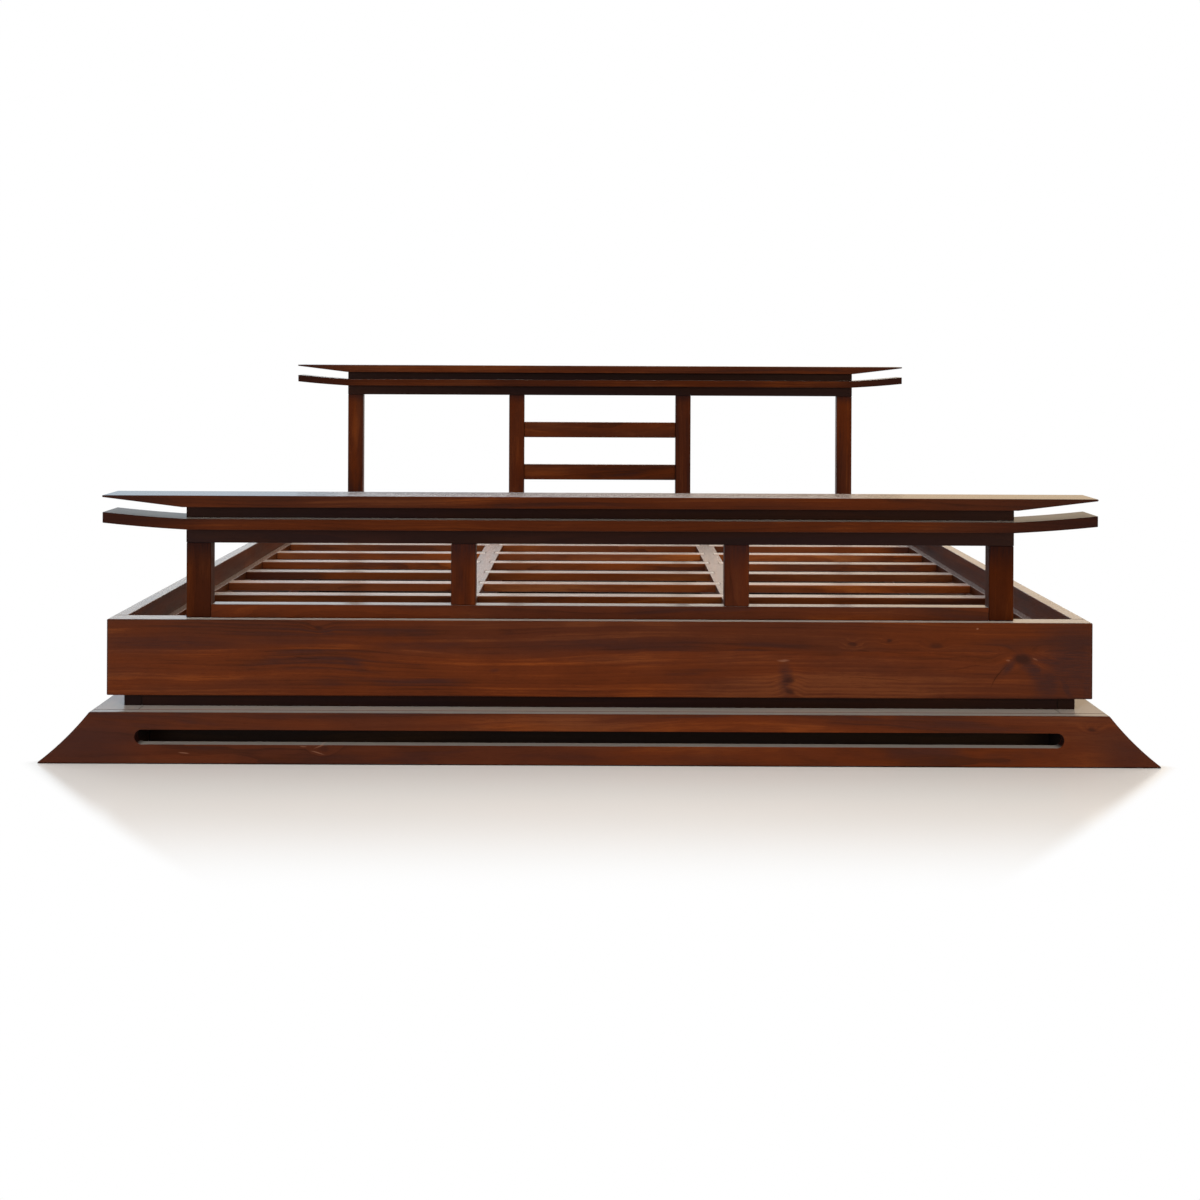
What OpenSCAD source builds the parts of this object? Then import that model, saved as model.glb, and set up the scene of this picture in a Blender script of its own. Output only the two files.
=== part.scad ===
// Low platform bed in dark stained solid wood: a flared plinth, a recessed riser, a deep
// rail frame with a sunken slatted deck, and a footboard and headboard with winged caps.
// X runs across the bed, Y from the foot to the head and Z up from the floor.

/* [Mattress] */
// Width of the mattress that the bed holds
mattress_w = 1930; // [1400:10:2000]
// Length of the mattress that the bed holds
mattress_l = 2030; // [1880:10:2150]
// Gap between the mattress and each side rail
side_gap = 17; // [8:1:35]
// Gap between the mattress and each end rail
end_gap = 14; // [8:1:35]

/* [Plinth] */
// Height of the plinth from the floor to its deck
base_h = 105; // [90:1:140]
// Thickness of the plinth's outer boards and inner bearers
base_board_t = 25; // [18:1:32]
// Thickness of the flat deck strips
deck_t = 20; // [15:1:26]
// Reach of the plinth past the face of the end rails
base_end_over = 33; // [26:1:60]
// Reach of the deck past the face of the side rails
base_side_over = 25; // [22:1:60]
// Reach of each flared tip past the edge of the deck
flare = 104; // [60:1:150]
// Hollow of the flared ends, measured square to the slope
flare_hollow = 4.5; // [1:0.5:10]
// Height of the blunt nose at each flared tip
flare_nose = 3; // [1:0.5:6]
// Height of the long slot in the end boards
slot_h = 30; // [16:1:34]
// Height of the slot's lower edge above the floor
slot_z = 40; // [24:1:48]
// Distance from the edge of the deck to the end of the slot
slot_inset = 92; // [60:1:300]
// Width and height of the cleats under the deck's end strips
cleat = 14; // [10:1:18]
// Step of the deck inside the riser
deck_lip = 4; // [0:1:10]

/* [Rail frame] */
// Height of the recessed riser between the plinth and the rails
riser_h = 27; // [20:1:45]
// Setback of the riser from the face of the end rails
riser_inset = 28; // [15:1:32]
// Height of the side and end rails
rail_h = 156; // [125:1:200]
// Thickness of the side rails
side_rail_t = 28; // [24:1:36]
// Thickness of the end rails
end_rail_t = 50; // [46:1:60]
// Length of the side rails' stub tenons
rail_tenon_l = 20; // [10:1:26]
// Plain shoulder above and below the side rails' tenons
rail_shoulder = 20; // [10:1:35]
// Thickness of every stub tenon
tenon_t = 12; // [8:1:14]
// Plain shoulder beside the tenons of the posts, rungs and bottom rails
tenon_shoulder = 7; // [4:1:9]

/* [Slatted deck] */
// Depth of the slat tops below the rail tops
slat_drop = 50; // [30:1:56]
// Width of one slat
slat_w = 48; // [36:1:70]
// Thickness of one slat
slat_t = 20; // [15:1:26]
// Distance from one slat to the next, centre to centre
slat_pitch = 203.5; // [110:0.5:240]
// Gap between the end rail and the first slat
slat_first_gap = 191; // [60:1:240]
// Thickness of the ledger boards inside the side rails
ledger_t = 36; // [30:1:42]
// Width of the rebate in the ledgers, on which the slat ends lie
ledger_shelf = 16; // [12:1:20]
// Width of the two centre beams
beam_w = 55; // [45:1:80]
// Clear width between the two centre beams
beam_gap = 600; // [400:5:700]
// Length of the beams' and corner blocks' seat on the riser
beam_seat = 38; // [32:1:60]
// Depth of the housings in the beams that take the slat ends
housing = 14; // [8:1:18]
// Height of the blocks in the corners of the rail frame
corner_block_h = 80; // [70:1:85]
// Distance from the middle of the bed to each pair of legs
leg_y = 360; // [250:5:450]

/* [Foot and head boards] */
// Thickness of the boards' horizontal rails and spacers
frame_t = 36; // [32:1:44]
// Setback of the boards from the outer face of the end rails
board_set = 20; // [8:1:26]
// Distance from the side rail's face to the outer posts
post_inset = 157; // [120:1:220]
// Width of one post
post_w = 51; // [44:1:64]
// Thickness of one post
post_t = 34; // [28:1:44]
// Clear width between the two inner posts
centre_bay = 513; // [380:1:620]
// Length of the tenons on the posts, rungs and bottom rails
post_tenon_l = 13; // [10:1:14]
// Height of the bottom rail of each board
low_rail_h = 28; // [26:1:40]
// Height of the windows in the footboard
foot_window_h = 127; // [80:1:220]
// Height of the windows in the headboard
head_window_h = 378; // [300:1:500]
// Height of the upper rail of each board
up_rail_h = 30; // [26:1:44]
// Height of one headboard rung
rung_h = 52; // [40:1:70]
// Thickness of one headboard rung
rung_t = 20; // [16:1:26]

/* [Caps] */
// Thickness of the lower cap with the raised arms
low_cap_t = 22; // [16:1:30]
// Depth of the lower cap from front to back
low_cap_d = 100; // [70:1:120]
// Rise of the lower cap at the end of each arm
arm_rise = 13.5; // [4:0.5:18]
// Hollow of the arm's upward sweep
arm_hollow = 1.2; // [0.4:0.1:3]
// Start of the arm inside the post's outer face
arm_root_in = 8; // [2:1:14]
// Height of the spacer between the two caps
spacer_h = 24; // [20:1:36]
// Thickness of the upper cap over the posts
top_cap_t = 24; // [18:1:30]
// Thickness of the upper cap at its tips
top_cap_tip_t = 4; // [2:0.5:8]
// Depth of the upper cap from front to back
top_cap_d = 104; // [70:1:120]
// Reach of both caps past the face of the side rails
cap_over = 6; // [0:1:40]

/* [Fastenings] */
// Diameter of the dowels
dowel_d = 10; // [8:1:12]
// Depth of the dowels in the plinth's deck
deck_dowel_seat = 7; // [5:1:10]
// Depth of the dowels in rails, beams, posts and legs
dowel_seat = 20; // [12:1:22]
// Number of dowels along each side of the riser
side_dowels_n = 4; // [2:1:6]
// Diameter of the corner bolts
bolt_d = 8; // [6:1:10]
// Width of the corner bolts' hexagon heads across the flats
bolt_head_af = 13; // [12:1:17]
// Height of the corner bolts' heads
bolt_head_h = 5.5; // [4:0.5:7]
// Depth of the corner bolts in the end rails
end_bolt_seat = 30; // [20:1:40]
// Depth of the corner bolts in the side rails
side_bolt_seat = 14; // [10:1:20]
// Height of each corner bolt above or below the middle of its block
bolt_offset = 13.5; // [10:0.5:20]
// Diameter of the wood screws' shanks
screw_d = 4.5; // [3.5:0.5:5.5]
// Diameter of the wood screws' countersunk heads
screw_head_d = 9; // [8:0.5:11]
// Depth that the screws bite into the last piece they join
screw_bite = 14; // [10:1:16]
// Number of screws that hold each ledger to its side rail
ledger_screws_n = 8; // [4:1:12]
// Distance from the end rails to the first and last of those screws
ledger_screw_inset = 152; // [100:1:200]

/* [Fits] */
// Clearance round tenons, dowels, bolts and screws
fit = 0.2; // [0.1:0.05:0.4]
// Space left past the end of tenons, dowels, bolts and screws
end_play = 0.5; // [0.3:0.1:1]

/* [Hidden] */

// Facets of round holes and pins, and steps along the curved ends
$fn = 48;
curve_steps = 12;
// Extra length of a cutter past the face that it opens
cut = 1;
// Sides of the bed, and its two ends
FOOT = -1;
HEAD = 1;
LEFT = -1;
RIGHT = 1;
ENDS = [FOOT, HEAD];
SIDES = [LEFT, RIGHT];

// Rail frame
inner_w = mattress_w + 2 * side_gap;
inner_l = mattress_l + 2 * end_gap;
rail_w = inner_w + 2 * side_rail_t;
rail_l = inner_l + 2 * end_rail_t;
rail_z = base_h + riser_h;
rail_top = rail_z + rail_h;
slat_top = rail_top - slat_drop;
slat_z = slat_top - slat_t;
side_rail_x = rail_w / 2 - side_rail_t / 2;

// Riser: its side boards stand under the ledgers, its end boards reach inside the end rails
riser_d = end_rail_t - riser_inset + beam_seat;
riser_y = rail_l / 2 - riser_inset;
riser_in_x = inner_w / 2 - ledger_t;

// Plinth
deck_x = rail_w / 2 + base_side_over;
base_y = rail_l / 2 + base_end_over;
base_in_y = base_y - base_board_t;
deck_z = base_h - deck_t;
deck_in_x = riser_in_x - deck_lip;
deck_in_y = riser_y - riser_d - deck_lip;
slot_half = deck_x - slot_inset;
bearer_out_x = deck_in_x + base_board_t;
plinth_block_l = deck_x - base_board_t - bearer_out_x;

// Slats and centre beams
slat_n = floor((inner_l - slat_first_gap - slat_w) / slat_pitch) + 1;
beam_in_x = beam_gap / 2;
beam_out_x = beam_in_x + beam_w;
beam_x = beam_in_x + beam_w / 2;
slat_screw_x = [riser_in_x + ledger_shelf / 2, beam_out_x - housing / 2, beam_in_x + housing / 2];
corner_block = beam_seat;

// Foot and head boards, with one cap screw in each half of every bay
board_y = rail_l / 2 - board_set - frame_t / 2;
outer_post_x = rail_w / 2 - post_inset - post_w / 2;
inner_post_x = centre_bay / 2 + post_w / 2;
post_out_x = outer_post_x + post_w / 2;
bay_in_x = inner_post_x + post_w / 2;
bay_out_x = outer_post_x - post_w / 2;
window_z = rail_top + low_rail_h;
post_tenon_w = post_w - 2 * tenon_shoulder;
cap_half = rail_w / 2 + cap_over;
rung_gap = (head_window_h - 2 * rung_h) / 3;
side_bay = bay_out_x - bay_in_x;
side_bay_x = (bay_in_x + bay_out_x) / 2;
half_screw_x = [centre_bay / 4, side_bay_x - side_bay / 4, side_bay_x + side_bay / 4];
cap_screw_x = [for (side = SIDES, x = half_screw_x) side * x];
cap_screw_l = up_rail_h + low_cap_t + spacer_h + screw_bite;

// Fastenings
screw_head_h = (screw_head_d - screw_d) / 2;
screw_tip_l = screw_d;
slat_screw_l = slat_t + screw_bite;
ledger_screw_l = ledger_t + screw_bite;
ledger_screw_z = (rail_z + slat_z) / 2;
ledger_screw_span = inner_l - 2 * ledger_screw_inset;
bolt_y_z = rail_z + corner_block_h / 2 - bolt_offset;
bolt_x_z = rail_z + corner_block_h / 2 + bolt_offset;
bolt_y_l = corner_block + end_bolt_seat;
bolt_x_l = corner_block + ledger_t + side_bolt_seat;
corner_x = inner_w / 2 - ledger_t - corner_block / 2;
corner_y = inner_l / 2 - corner_block / 2;
riser_side_dowel_y = spread(rail_l * (side_dowels_n - 1) / side_dowels_n, side_dowels_n);
riser_rail_dowel_x = spread(beam_x + riser_in_x, 3);
riser_rail_dowel_y = rail_l / 2 - (riser_inset + end_rail_t) / 2;
riser_beam_dowel_y = inner_l / 2 - beam_seat / 2;
riser_dowel_z = [base_h - deck_dowel_seat, rail_z + dowel_seat];
leg_dowel_z = around(rail_z, 2 * dowel_seat);
board_dowel_z = around(rail_top, 2 * dowel_seat);
board_dowel_x = [-outer_post_x, -side_bay_x, 0, side_bay_x, outer_post_x];

// Colours of the stained boards, the slats and the steel fastenings
STAIN = [0.30, 0.11, 0.06];
DARK_STAIN = [0.20, 0.07, 0.04];
SLAT = [0.42, 0.19, 0.10];
DOWEL = [0.72, 0.55, 0.36];
STEEL = [0.62, 0.62, 0.60];

// Limits of a piece of width w about c, and of one from a to b on one side of the middle
function around(c, w) = [c - w / 2, c + w / 2];
function span(side, a, b) = side > 0 ? [a, b] : [-b, -a];

// Centre of slat number i along the bed
function slat_y(i) = -inner_l / 2 + slat_first_gap + slat_w / 2 + i * slat_pitch;

// Places spread evenly over a span, centred on zero
function spread(span, n) = [for (i = [0 : n - 1]) span * (i / (n - 1) - 0.5)];

// Circular arc from a to b, bulging by sag to the left of the way from a to b
function arc(a, b, sag) =
    let (
        chord = norm(b - a),
        u = (b - a) / chord,
        v = [-u[1], u[0]],
        r = (chord * chord / 4 + sag * sag) / (2 * sag),
        half = asin(chord / 2 / r)
    )
    [for (i = [0 : curve_steps])
        let (t = half * (2 * i / curve_steps - 1))
        (a + b) / 2 + u * r * sin(t) + v * (r * cos(t) - r + sag)];

// Points in reverse order, and on the other side of the centre line in reverse order
function reversed(points) = [for (i = [len(points) - 1 : -1 : 0]) points[i]];
function mirrored(points) = [for (p = reversed(points)) [-p[0], p[1]]];

// Box between two limits along each axis, wider all round by grow where it is a cutter
module block(x, y, z, grow = 0) {
    translate([x[0] - grow, y[0] - grow, z[0] - grow])
        cube([x[1] - x[0] + 2 * grow, y[1] - y[0] + 2 * grow, z[1] - z[0] + 2 * grow]);
}

// Flat outline in X and Z, thickened along Y about the centre line
module across(depth) {
    rotate([90, 0, 0]) linear_extrude(height = depth, center = true) children();
}

// Dowel between two heights
module dowel(z) {
    translate([0, 0, z[0] + end_play]) cylinder(d = dowel_d, h = z[1] - z[0] - 2 * end_play);
}

// Hole for that dowel
module dowel_hole(z) {
    translate([0, 0, z[0]]) cylinder(d = dowel_d + 2 * fit, h = z[1] - z[0]);
}

// Countersunk wood screw of length l, head up at the origin
module screw(l) {
    r = screw_d / 2;
    rotate_extrude()
        polygon([[0, 0], [screw_head_d / 2, 0], [r, -screw_head_h], [r, screw_tip_l - l], [0, -l]]);
}

// Hole for that screw, open past its head
module screw_hole(l) {
    r = screw_d / 2 + fit;
    head_r = screw_head_d / 2 + fit;
    bottom = -l - end_play;
    rotate_extrude()
        polygon([[0, cut], [head_r, cut], [head_r, 0], [r, -screw_head_h], [r, bottom], [0, bottom]]);
}

// Hexagon-headed bolt of length l under its head, which sits on the origin
module bolt(l) {
    translate([0, 0, -l]) cylinder(d = bolt_d, h = l);
    cylinder(d = bolt_head_af / cos(30), h = bolt_head_h, $fn = 6);
}

// Hole for that bolt, open past its head
module bolt_hole(l) {
    translate([0, 0, -l - end_play]) cylinder(d = bolt_d + 2 * fit, h = l + end_play + cut);
}

// Turns a fastener that points down so that it points out of the bed along X or Y
module outwards_x(side) {
    rotate([0, -90 * side, 0]) children();
}

module outwards_y(end) {
    rotate([90 * end, 0, 0]) children();
}

// Places of the fastenings
module at_riser_dowels() {
    for (side = SIDES, y = riser_side_dowel_y)
        translate([side * (riser_in_x + ledger_t / 2), y, 0]) children();
    for (end = ENDS, x = riser_rail_dowel_x)
        translate([x, end * riser_rail_dowel_y, 0]) children();
    for (end = ENDS, side = SIDES)
        translate([side * beam_x, end * riser_beam_dowel_y, 0]) children();
}

module at_legs() {
    for (side = SIDES, end = ENDS)
        translate([side * beam_x, end * leg_y, 0]) children();
}

module at_board_dowels(ends = ENDS) {
    for (end = ends, x = board_dowel_x)
        translate([x, end * board_y, 0]) children();
}

module at_end_bolts() {
    for (side = SIDES, end = ENDS)
        translate([side * corner_x, end * (corner_y - corner_block / 2), bolt_y_z])
            outwards_y(end) children();
}

module at_side_bolts() {
    for (side = SIDES, end = ENDS)
        translate([side * (corner_x - corner_block / 2), end * corner_y, bolt_x_z])
            outwards_x(side) children();
}

module at_ledger_screws() {
    for (side = SIDES, y = spread(ledger_screw_span, ledger_screws_n))
        translate([side * riser_in_x, y, ledger_screw_z]) outwards_x(side) children();
}

// One screw at each end of every slat, in the middle of its seat
module at_slat_screws() {
    for (side = SIDES, x = slat_screw_x, i = [0 : slat_n - 1])
        translate([side * x, slat_y(i), slat_top]) children();
}

// Screws that climb through a board's upper rail into its caps
module at_cap_screws(end, window_h) {
    for (x = cap_screw_x)
        translate([x, end * board_y, window_z + window_h]) mirror([0, 0, 1]) children();
}

// Holes for the fastenings, cut from whichever piece they pass through
module riser_dowel_holes() {
    at_riser_dowels() dowel_hole(riser_dowel_z);
}

module leg_dowel_holes() {
    at_legs() dowel_hole(leg_dowel_z);
}

module board_dowel_holes(end) {
    at_board_dowels([end]) dowel_hole(board_dowel_z);
}

module slat_screw_holes() {
    at_slat_screws() screw_hole(slat_screw_l);
}

module ledger_screw_holes() {
    at_ledger_screws() screw_hole(ledger_screw_l);
}

module corner_bolt_holes() {
    at_end_bolts() bolt_hole(bolt_y_l);
    at_side_bolts() bolt_hole(bolt_x_l);
}

module cap_screw_holes(end, window_h) {
    at_cap_screws(end, window_h) screw_hole(cap_screw_l);
}

// Plinth: end boards with flared tips and a long slot with round ends
module end_board_outline() {
    tip = deck_x + flare;
    edge = arc([tip, flare_nose], [deck_x, base_h], flare_hollow);
    polygon(concat([[-tip, 0], [tip, 0]], edge, mirrored(edge)));
}

module slot_outline() {
    centre = slot_half - slot_h / 2;
    translate([0, slot_z + slot_h / 2]) {
        square([2 * centre, slot_h], center = true);
        for (side = SIDES)
            translate([side * centre, 0]) circle(d = slot_h);
    }
}

module base_end_board(end) {
    color(STAIN)
        translate([0, end * (base_y - base_board_t / 2), 0])
            across(base_board_t)
                difference() {
                    end_board_outline();
                    slot_outline();
                }
}

module base_side_board(side) {
    color(STAIN)
        block(span(side, deck_x - base_board_t, deck_x), [-base_in_y, base_in_y], [0, deck_z]);
}

module end_bearer(end) {
    color(DARK_STAIN)
        block([-deck_in_x, deck_in_x], span(end, deck_in_y, deck_in_y + base_board_t), [0, deck_z]);
}

module side_bearer(side) {
    color(DARK_STAIN)
        block(span(side, deck_in_x, bearer_out_x), [-base_in_y, base_in_y], [0, deck_z]);
}

module deck_end_strip(end) {
    color(STAIN)
        difference() {
            block([-deck_in_x, deck_in_x], span(end, deck_in_y, base_in_y), [deck_z, base_h]);
            riser_dowel_holes();
        }
}

module deck_side_strip(side) {
    color(STAIN)
        difference() {
            block(span(side, deck_in_x, deck_x), [-base_in_y, base_in_y], [deck_z, base_h]);
            riser_dowel_holes();
        }
}

module deck_cleats() {
    color(DARK_STAIN)
        for (end = ENDS)
            block([-deck_in_x, deck_in_x], span(end, base_in_y - cleat, base_in_y),
                  [deck_z - cleat, deck_z]);
}

module plinth_corner_blocks() {
    color(DARK_STAIN)
        for (side = SIDES, end = ENDS)
            block(span(side, bearer_out_x, deck_x - base_board_t),
                  span(end, base_in_y - plinth_block_l, base_in_y), [0, deck_z]);
}

// Riser between the plinth and the rails
module riser_end(end) {
    color(DARK_STAIN)
        difference() {
            block([-riser_in_x, riser_in_x], span(end, riser_y - riser_d, riser_y), [base_h, rail_z]);
            riser_dowel_holes();
        }
}

module riser_side(side) {
    color(DARK_STAIN)
        difference() {
            block(span(side, riser_in_x, inner_w / 2), [-riser_y, riser_y], [base_h, rail_z]);
            riser_dowel_holes();
        }
}

// Stub tenons of both side rails, or their mortises
module rail_tenons(grow = 0) {
    for (side = SIDES)
        block(around(side * side_rail_x, tenon_t), around(0, inner_l + 2 * rail_tenon_l),
              [rail_z + rail_shoulder, rail_top - rail_shoulder], grow);
}

module rail_end(end) {
    color(STAIN)
        difference() {
            block([-rail_w / 2, rail_w / 2], span(end, inner_l / 2, rail_l / 2), [rail_z, rail_top]);
            rail_tenons(fit);
            riser_dowel_holes();
            board_dowel_holes(end);
            corner_bolt_holes();
        }
}

module rail_side(side) {
    x = span(side, inner_w / 2, rail_w / 2);
    color(STAIN)
        difference() {
            union() {
                block(x, [-inner_l / 2, inner_l / 2], [rail_z, rail_top]);
                intersection() {
                    rail_tenons();
                    block(x, [-rail_l / 2, rail_l / 2], [rail_z, rail_top]);
                }
            }
            ledger_screw_holes();
            corner_bolt_holes();
        }
}

// Housings for the slat ends, cut into both faces of each beam
module housings(side, x) {
    for (i = [0 : slat_n - 1])
        block(span(side, x[0], x[1]), around(slat_y(i), slat_w + 2 * fit), [slat_z, slat_top + cut]);
}

// Ledger with a long rebate under the slat ends
module ledger(side) {
    color(SLAT)
        difference() {
            block(span(side, riser_in_x, inner_w / 2), [-inner_l / 2, inner_l / 2], [rail_z, slat_top]);
            block(span(side, riser_in_x - cut, riser_in_x + ledger_shelf),
                  [-inner_l / 2 - cut, inner_l / 2 + cut], [slat_z, slat_top + cut]);
            slat_screw_holes();
            ledger_screw_holes();
            corner_bolt_holes();
            riser_dowel_holes();
        }
}

module beam(side) {
    color(SLAT)
        difference() {
            block(span(side, beam_in_x, beam_out_x), [-inner_l / 2, inner_l / 2], [rail_z, slat_top]);
            housings(side, [beam_in_x - cut, beam_in_x + housing]);
            housings(side, [beam_out_x - housing, beam_out_x + cut]);
            slat_screw_holes();
            leg_dowel_holes();
            riser_dowel_holes();
        }
}

module beam_legs() {
    color(DARK_STAIN)
        difference() {
            at_legs() block(around(0, beam_w), around(0, beam_w), [0, rail_z]);
            leg_dowel_holes();
        }
}

// One row of slats between two limits across the bed
module slat_row(x) {
    color(SLAT)
        difference() {
            for (i = [0 : slat_n - 1])
                block(x, around(slat_y(i), slat_w), [slat_z, slat_top]);
            slat_screw_holes();
        }
}

module side_slats(side) {
    slat_row(span(side, beam_out_x - housing + end_play, riser_in_x + ledger_shelf - end_play));
}

module middle_slats() {
    slat_row(around(0, beam_gap + 2 * (housing - end_play)));
}

module rail_corner_blocks() {
    color(DARK_STAIN)
        difference() {
            for (side = SIDES, end = ENDS)
                block(around(side * corner_x, corner_block), around(end * corner_y, corner_block),
                      [rail_z, rail_z + corner_block_h]);
            corner_bolt_holes();
        }
}

// Fastenings, one node for each kind
module corner_bolts() {
    color(STEEL) {
        at_end_bolts() bolt(bolt_y_l);
        at_side_bolts() bolt(bolt_x_l);
    }
}

module ledger_screws() {
    color(STEEL) at_ledger_screws() screw(ledger_screw_l);
}

module slat_screws() {
    color(STEEL) at_slat_screws() screw(slat_screw_l);
}

module cap_screws() {
    color(STEEL) {
        at_cap_screws(FOOT, foot_window_h) screw(cap_screw_l);
        at_cap_screws(HEAD, head_window_h) screw(cap_screw_l);
    }
}

module riser_dowels() {
    color(DOWEL) at_riser_dowels() dowel(riser_dowel_z);
}

module leg_dowels() {
    color(DOWEL) at_legs() dowel(leg_dowel_z);
}

module board_dowels() {
    color(DOWEL) at_board_dowels() dowel(board_dowel_z);
}

// Foot and head boards: the same pieces, at each end's own height

// Upright tenons of all four posts, or their mortises
module post_tenons(end, window_h, grow = 0) {
    top = window_z + window_h;
    for (side = SIDES) {
        block(around(side * outer_post_x, post_tenon_w), around(end * board_y, tenon_t),
              [top - post_tenon_l, top + post_tenon_l], grow);
        block(around(side * inner_post_x, post_tenon_w), around(end * board_y, tenon_t),
              [window_z - post_tenon_l, top + post_tenon_l], grow);
    }
}

// Tenons of the bottom rail, or their mortises in the outer posts
module low_rail_tenons(end, grow = 0) {
    block(around(0, 2 * (bay_out_x + post_tenon_l)), around(end * board_y, tenon_t),
          [rail_top + tenon_shoulder, window_z - tenon_shoulder], grow);
}

// Height of the lower edge of rung number k, counted from the bottom
function rung_z(k) = window_z + rung_gap + k * (rung_h + rung_gap);

// Tenons of the rungs, or their mortises in the inner posts
module rung_tenons(k, grow = 0) {
    block(around(0, centre_bay + 2 * post_tenon_l), around(HEAD * board_y, tenon_t),
          [rung_z(k) + tenon_shoulder, rung_z(k) + rung_h - tenon_shoulder], grow);
}

module outer_post(end, side, window_h) {
    color(STAIN)
        difference() {
            union() {
                block(around(side * outer_post_x, post_w), around(end * board_y, post_t),
                      [rail_top, window_z + window_h]);
                intersection() {
                    post_tenons(end, window_h);
                    block(around(side * outer_post_x, post_w), around(end * board_y, post_t),
                          [rail_top, window_z + window_h + up_rail_h]);
                }
            }
            low_rail_tenons(end, fit);
            board_dowel_holes(end);
        }
}

module inner_post(end, side, window_h) {
    color(STAIN)
        difference() {
            union() {
                block(around(side * inner_post_x, post_w), around(end * board_y, post_t),
                      [window_z, window_z + window_h]);
                intersection() {
                    post_tenons(end, window_h);
                    block(around(side * inner_post_x, post_w), around(end * board_y, post_t),
                          [rail_top, window_z + window_h + up_rail_h]);
                }
            }
            if (end == HEAD)
                for (k = [0, 1])
                    rung_tenons(k, fit);
        }
}

module bottom_rail(end, window_h) {
    color(STAIN)
        difference() {
            union() {
                block([-bay_out_x, bay_out_x], around(end * board_y, frame_t), [rail_top, window_z]);
                low_rail_tenons(end);
            }
            post_tenons(end, window_h, fit);
            board_dowel_holes(end);
        }
}

module upper_rail(end, window_h) {
    top = window_z + window_h;
    color(DARK_STAIN)
        difference() {
            block([-post_out_x, post_out_x], around(end * board_y, frame_t), [top, top + up_rail_h]);
            post_tenons(end, window_h, fit);
            cap_screw_holes(end, window_h);
        }
}

// Lower cap: flat over the posts, with an arm at each end that sweeps up
module lower_cap(end, window_h) {
    over = [for (p = arc([cap_half, arm_rise], [post_out_x - arm_root_in, 0], arm_hollow))
        [p[0], p[1] + low_cap_t]];
    under = reversed([for (p = over) [p[0], p[1] - low_cap_t]]);
    color(STAIN)
        difference() {
            translate([0, end * board_y, window_z + window_h + up_rail_h])
                across(low_cap_d)
                    polygon(concat(under, over, mirrored(over), mirrored(under)));
            cap_screw_holes(end, window_h);
        }
}

module cap_spacer(end, window_h) {
    z = window_z + window_h + up_rail_h + low_cap_t;
    color(DARK_STAIN)
        difference() {
            block([-post_out_x, post_out_x], around(end * board_y, frame_t), [z, z + spacer_h]);
            cap_screw_holes(end, window_h);
        }
}

// Upper cap: flat on top, with tips that thin towards their ends
module upper_cap(end, window_h) {
    under = [[post_out_x, 0], [cap_half, top_cap_t - top_cap_tip_t], [cap_half, top_cap_t]];
    color(STAIN)
        difference() {
            translate([0, end * board_y, window_z + window_h + up_rail_h + low_cap_t + spacer_h])
                across(top_cap_d)
                    polygon(concat(under, mirrored(under)));
            cap_screw_holes(end, window_h);
        }
}

module rung(k) {
    color(STAIN) {
        block(around(0, centre_bay), around(HEAD * board_y, rung_t), [rung_z(k), rung_z(k) + rung_h]);
        rung_tenons(k);
    }
}

base_end_board(FOOT);  // base_front_board
base_end_board(HEAD);  // base_rear_board
base_side_board(LEFT);  // base_left_board
base_side_board(RIGHT);  // base_right_board
end_bearer(FOOT);  // base_front_bearer
end_bearer(HEAD);  // base_rear_bearer
side_bearer(LEFT);  // base_left_bearer
side_bearer(RIGHT);  // base_right_bearer
deck_end_strip(FOOT);  // deck_front_strip
deck_end_strip(HEAD);  // deck_rear_strip
deck_side_strip(LEFT);  // deck_left_strip
deck_side_strip(RIGHT);  // deck_right_strip
deck_cleats();
plinth_corner_blocks();
riser_end(FOOT);  // riser_front
riser_end(HEAD);  // riser_rear
riser_side(LEFT);  // riser_left
riser_side(RIGHT);  // riser_right
rail_end(FOOT);  // rail_front
rail_end(HEAD);  // rail_rear
rail_side(LEFT);  // rail_left
rail_side(RIGHT);  // rail_right
ledger(LEFT);  // ledger_left
ledger(RIGHT);  // ledger_right
beam(LEFT);  // beam_left
beam(RIGHT);  // beam_right
beam_legs();
side_slats(LEFT);  // slats_left
middle_slats();  // slats_middle
side_slats(RIGHT);  // slats_right
rail_corner_blocks();
corner_bolts();
ledger_screws();
slat_screws();
riser_dowels();
leg_dowels();
board_dowels();
cap_screws();
outer_post(FOOT, LEFT, foot_window_h);  // foot_outer_post_left
outer_post(FOOT, RIGHT, foot_window_h);  // foot_outer_post_right
inner_post(FOOT, LEFT, foot_window_h);  // foot_inner_post_left
inner_post(FOOT, RIGHT, foot_window_h);  // foot_inner_post_right
bottom_rail(FOOT, foot_window_h);  // foot_bottom_rail
upper_rail(FOOT, foot_window_h);  // foot_upper_rail
lower_cap(FOOT, foot_window_h);  // foot_lower_cap
cap_spacer(FOOT, foot_window_h);  // foot_cap_spacer
upper_cap(FOOT, foot_window_h);  // foot_upper_cap
outer_post(HEAD, LEFT, head_window_h);  // head_outer_post_left
outer_post(HEAD, RIGHT, head_window_h);  // head_outer_post_right
inner_post(HEAD, LEFT, head_window_h);  // head_inner_post_left
inner_post(HEAD, RIGHT, head_window_h);  // head_inner_post_right
bottom_rail(HEAD, head_window_h);  // head_bottom_rail
upper_rail(HEAD, head_window_h);  // head_upper_rail
lower_cap(HEAD, head_window_h);  // head_lower_cap
cap_spacer(HEAD, head_window_h);  // head_cap_spacer
upper_cap(HEAD, head_window_h);  // head_upper_cap
rung(0);  // head_rung_lower
rung(1);  // head_rung_upper
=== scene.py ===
import math
import random
from collections import namedtuple

import bmesh
import bpy
from mathutils import Matrix, Vector


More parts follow.
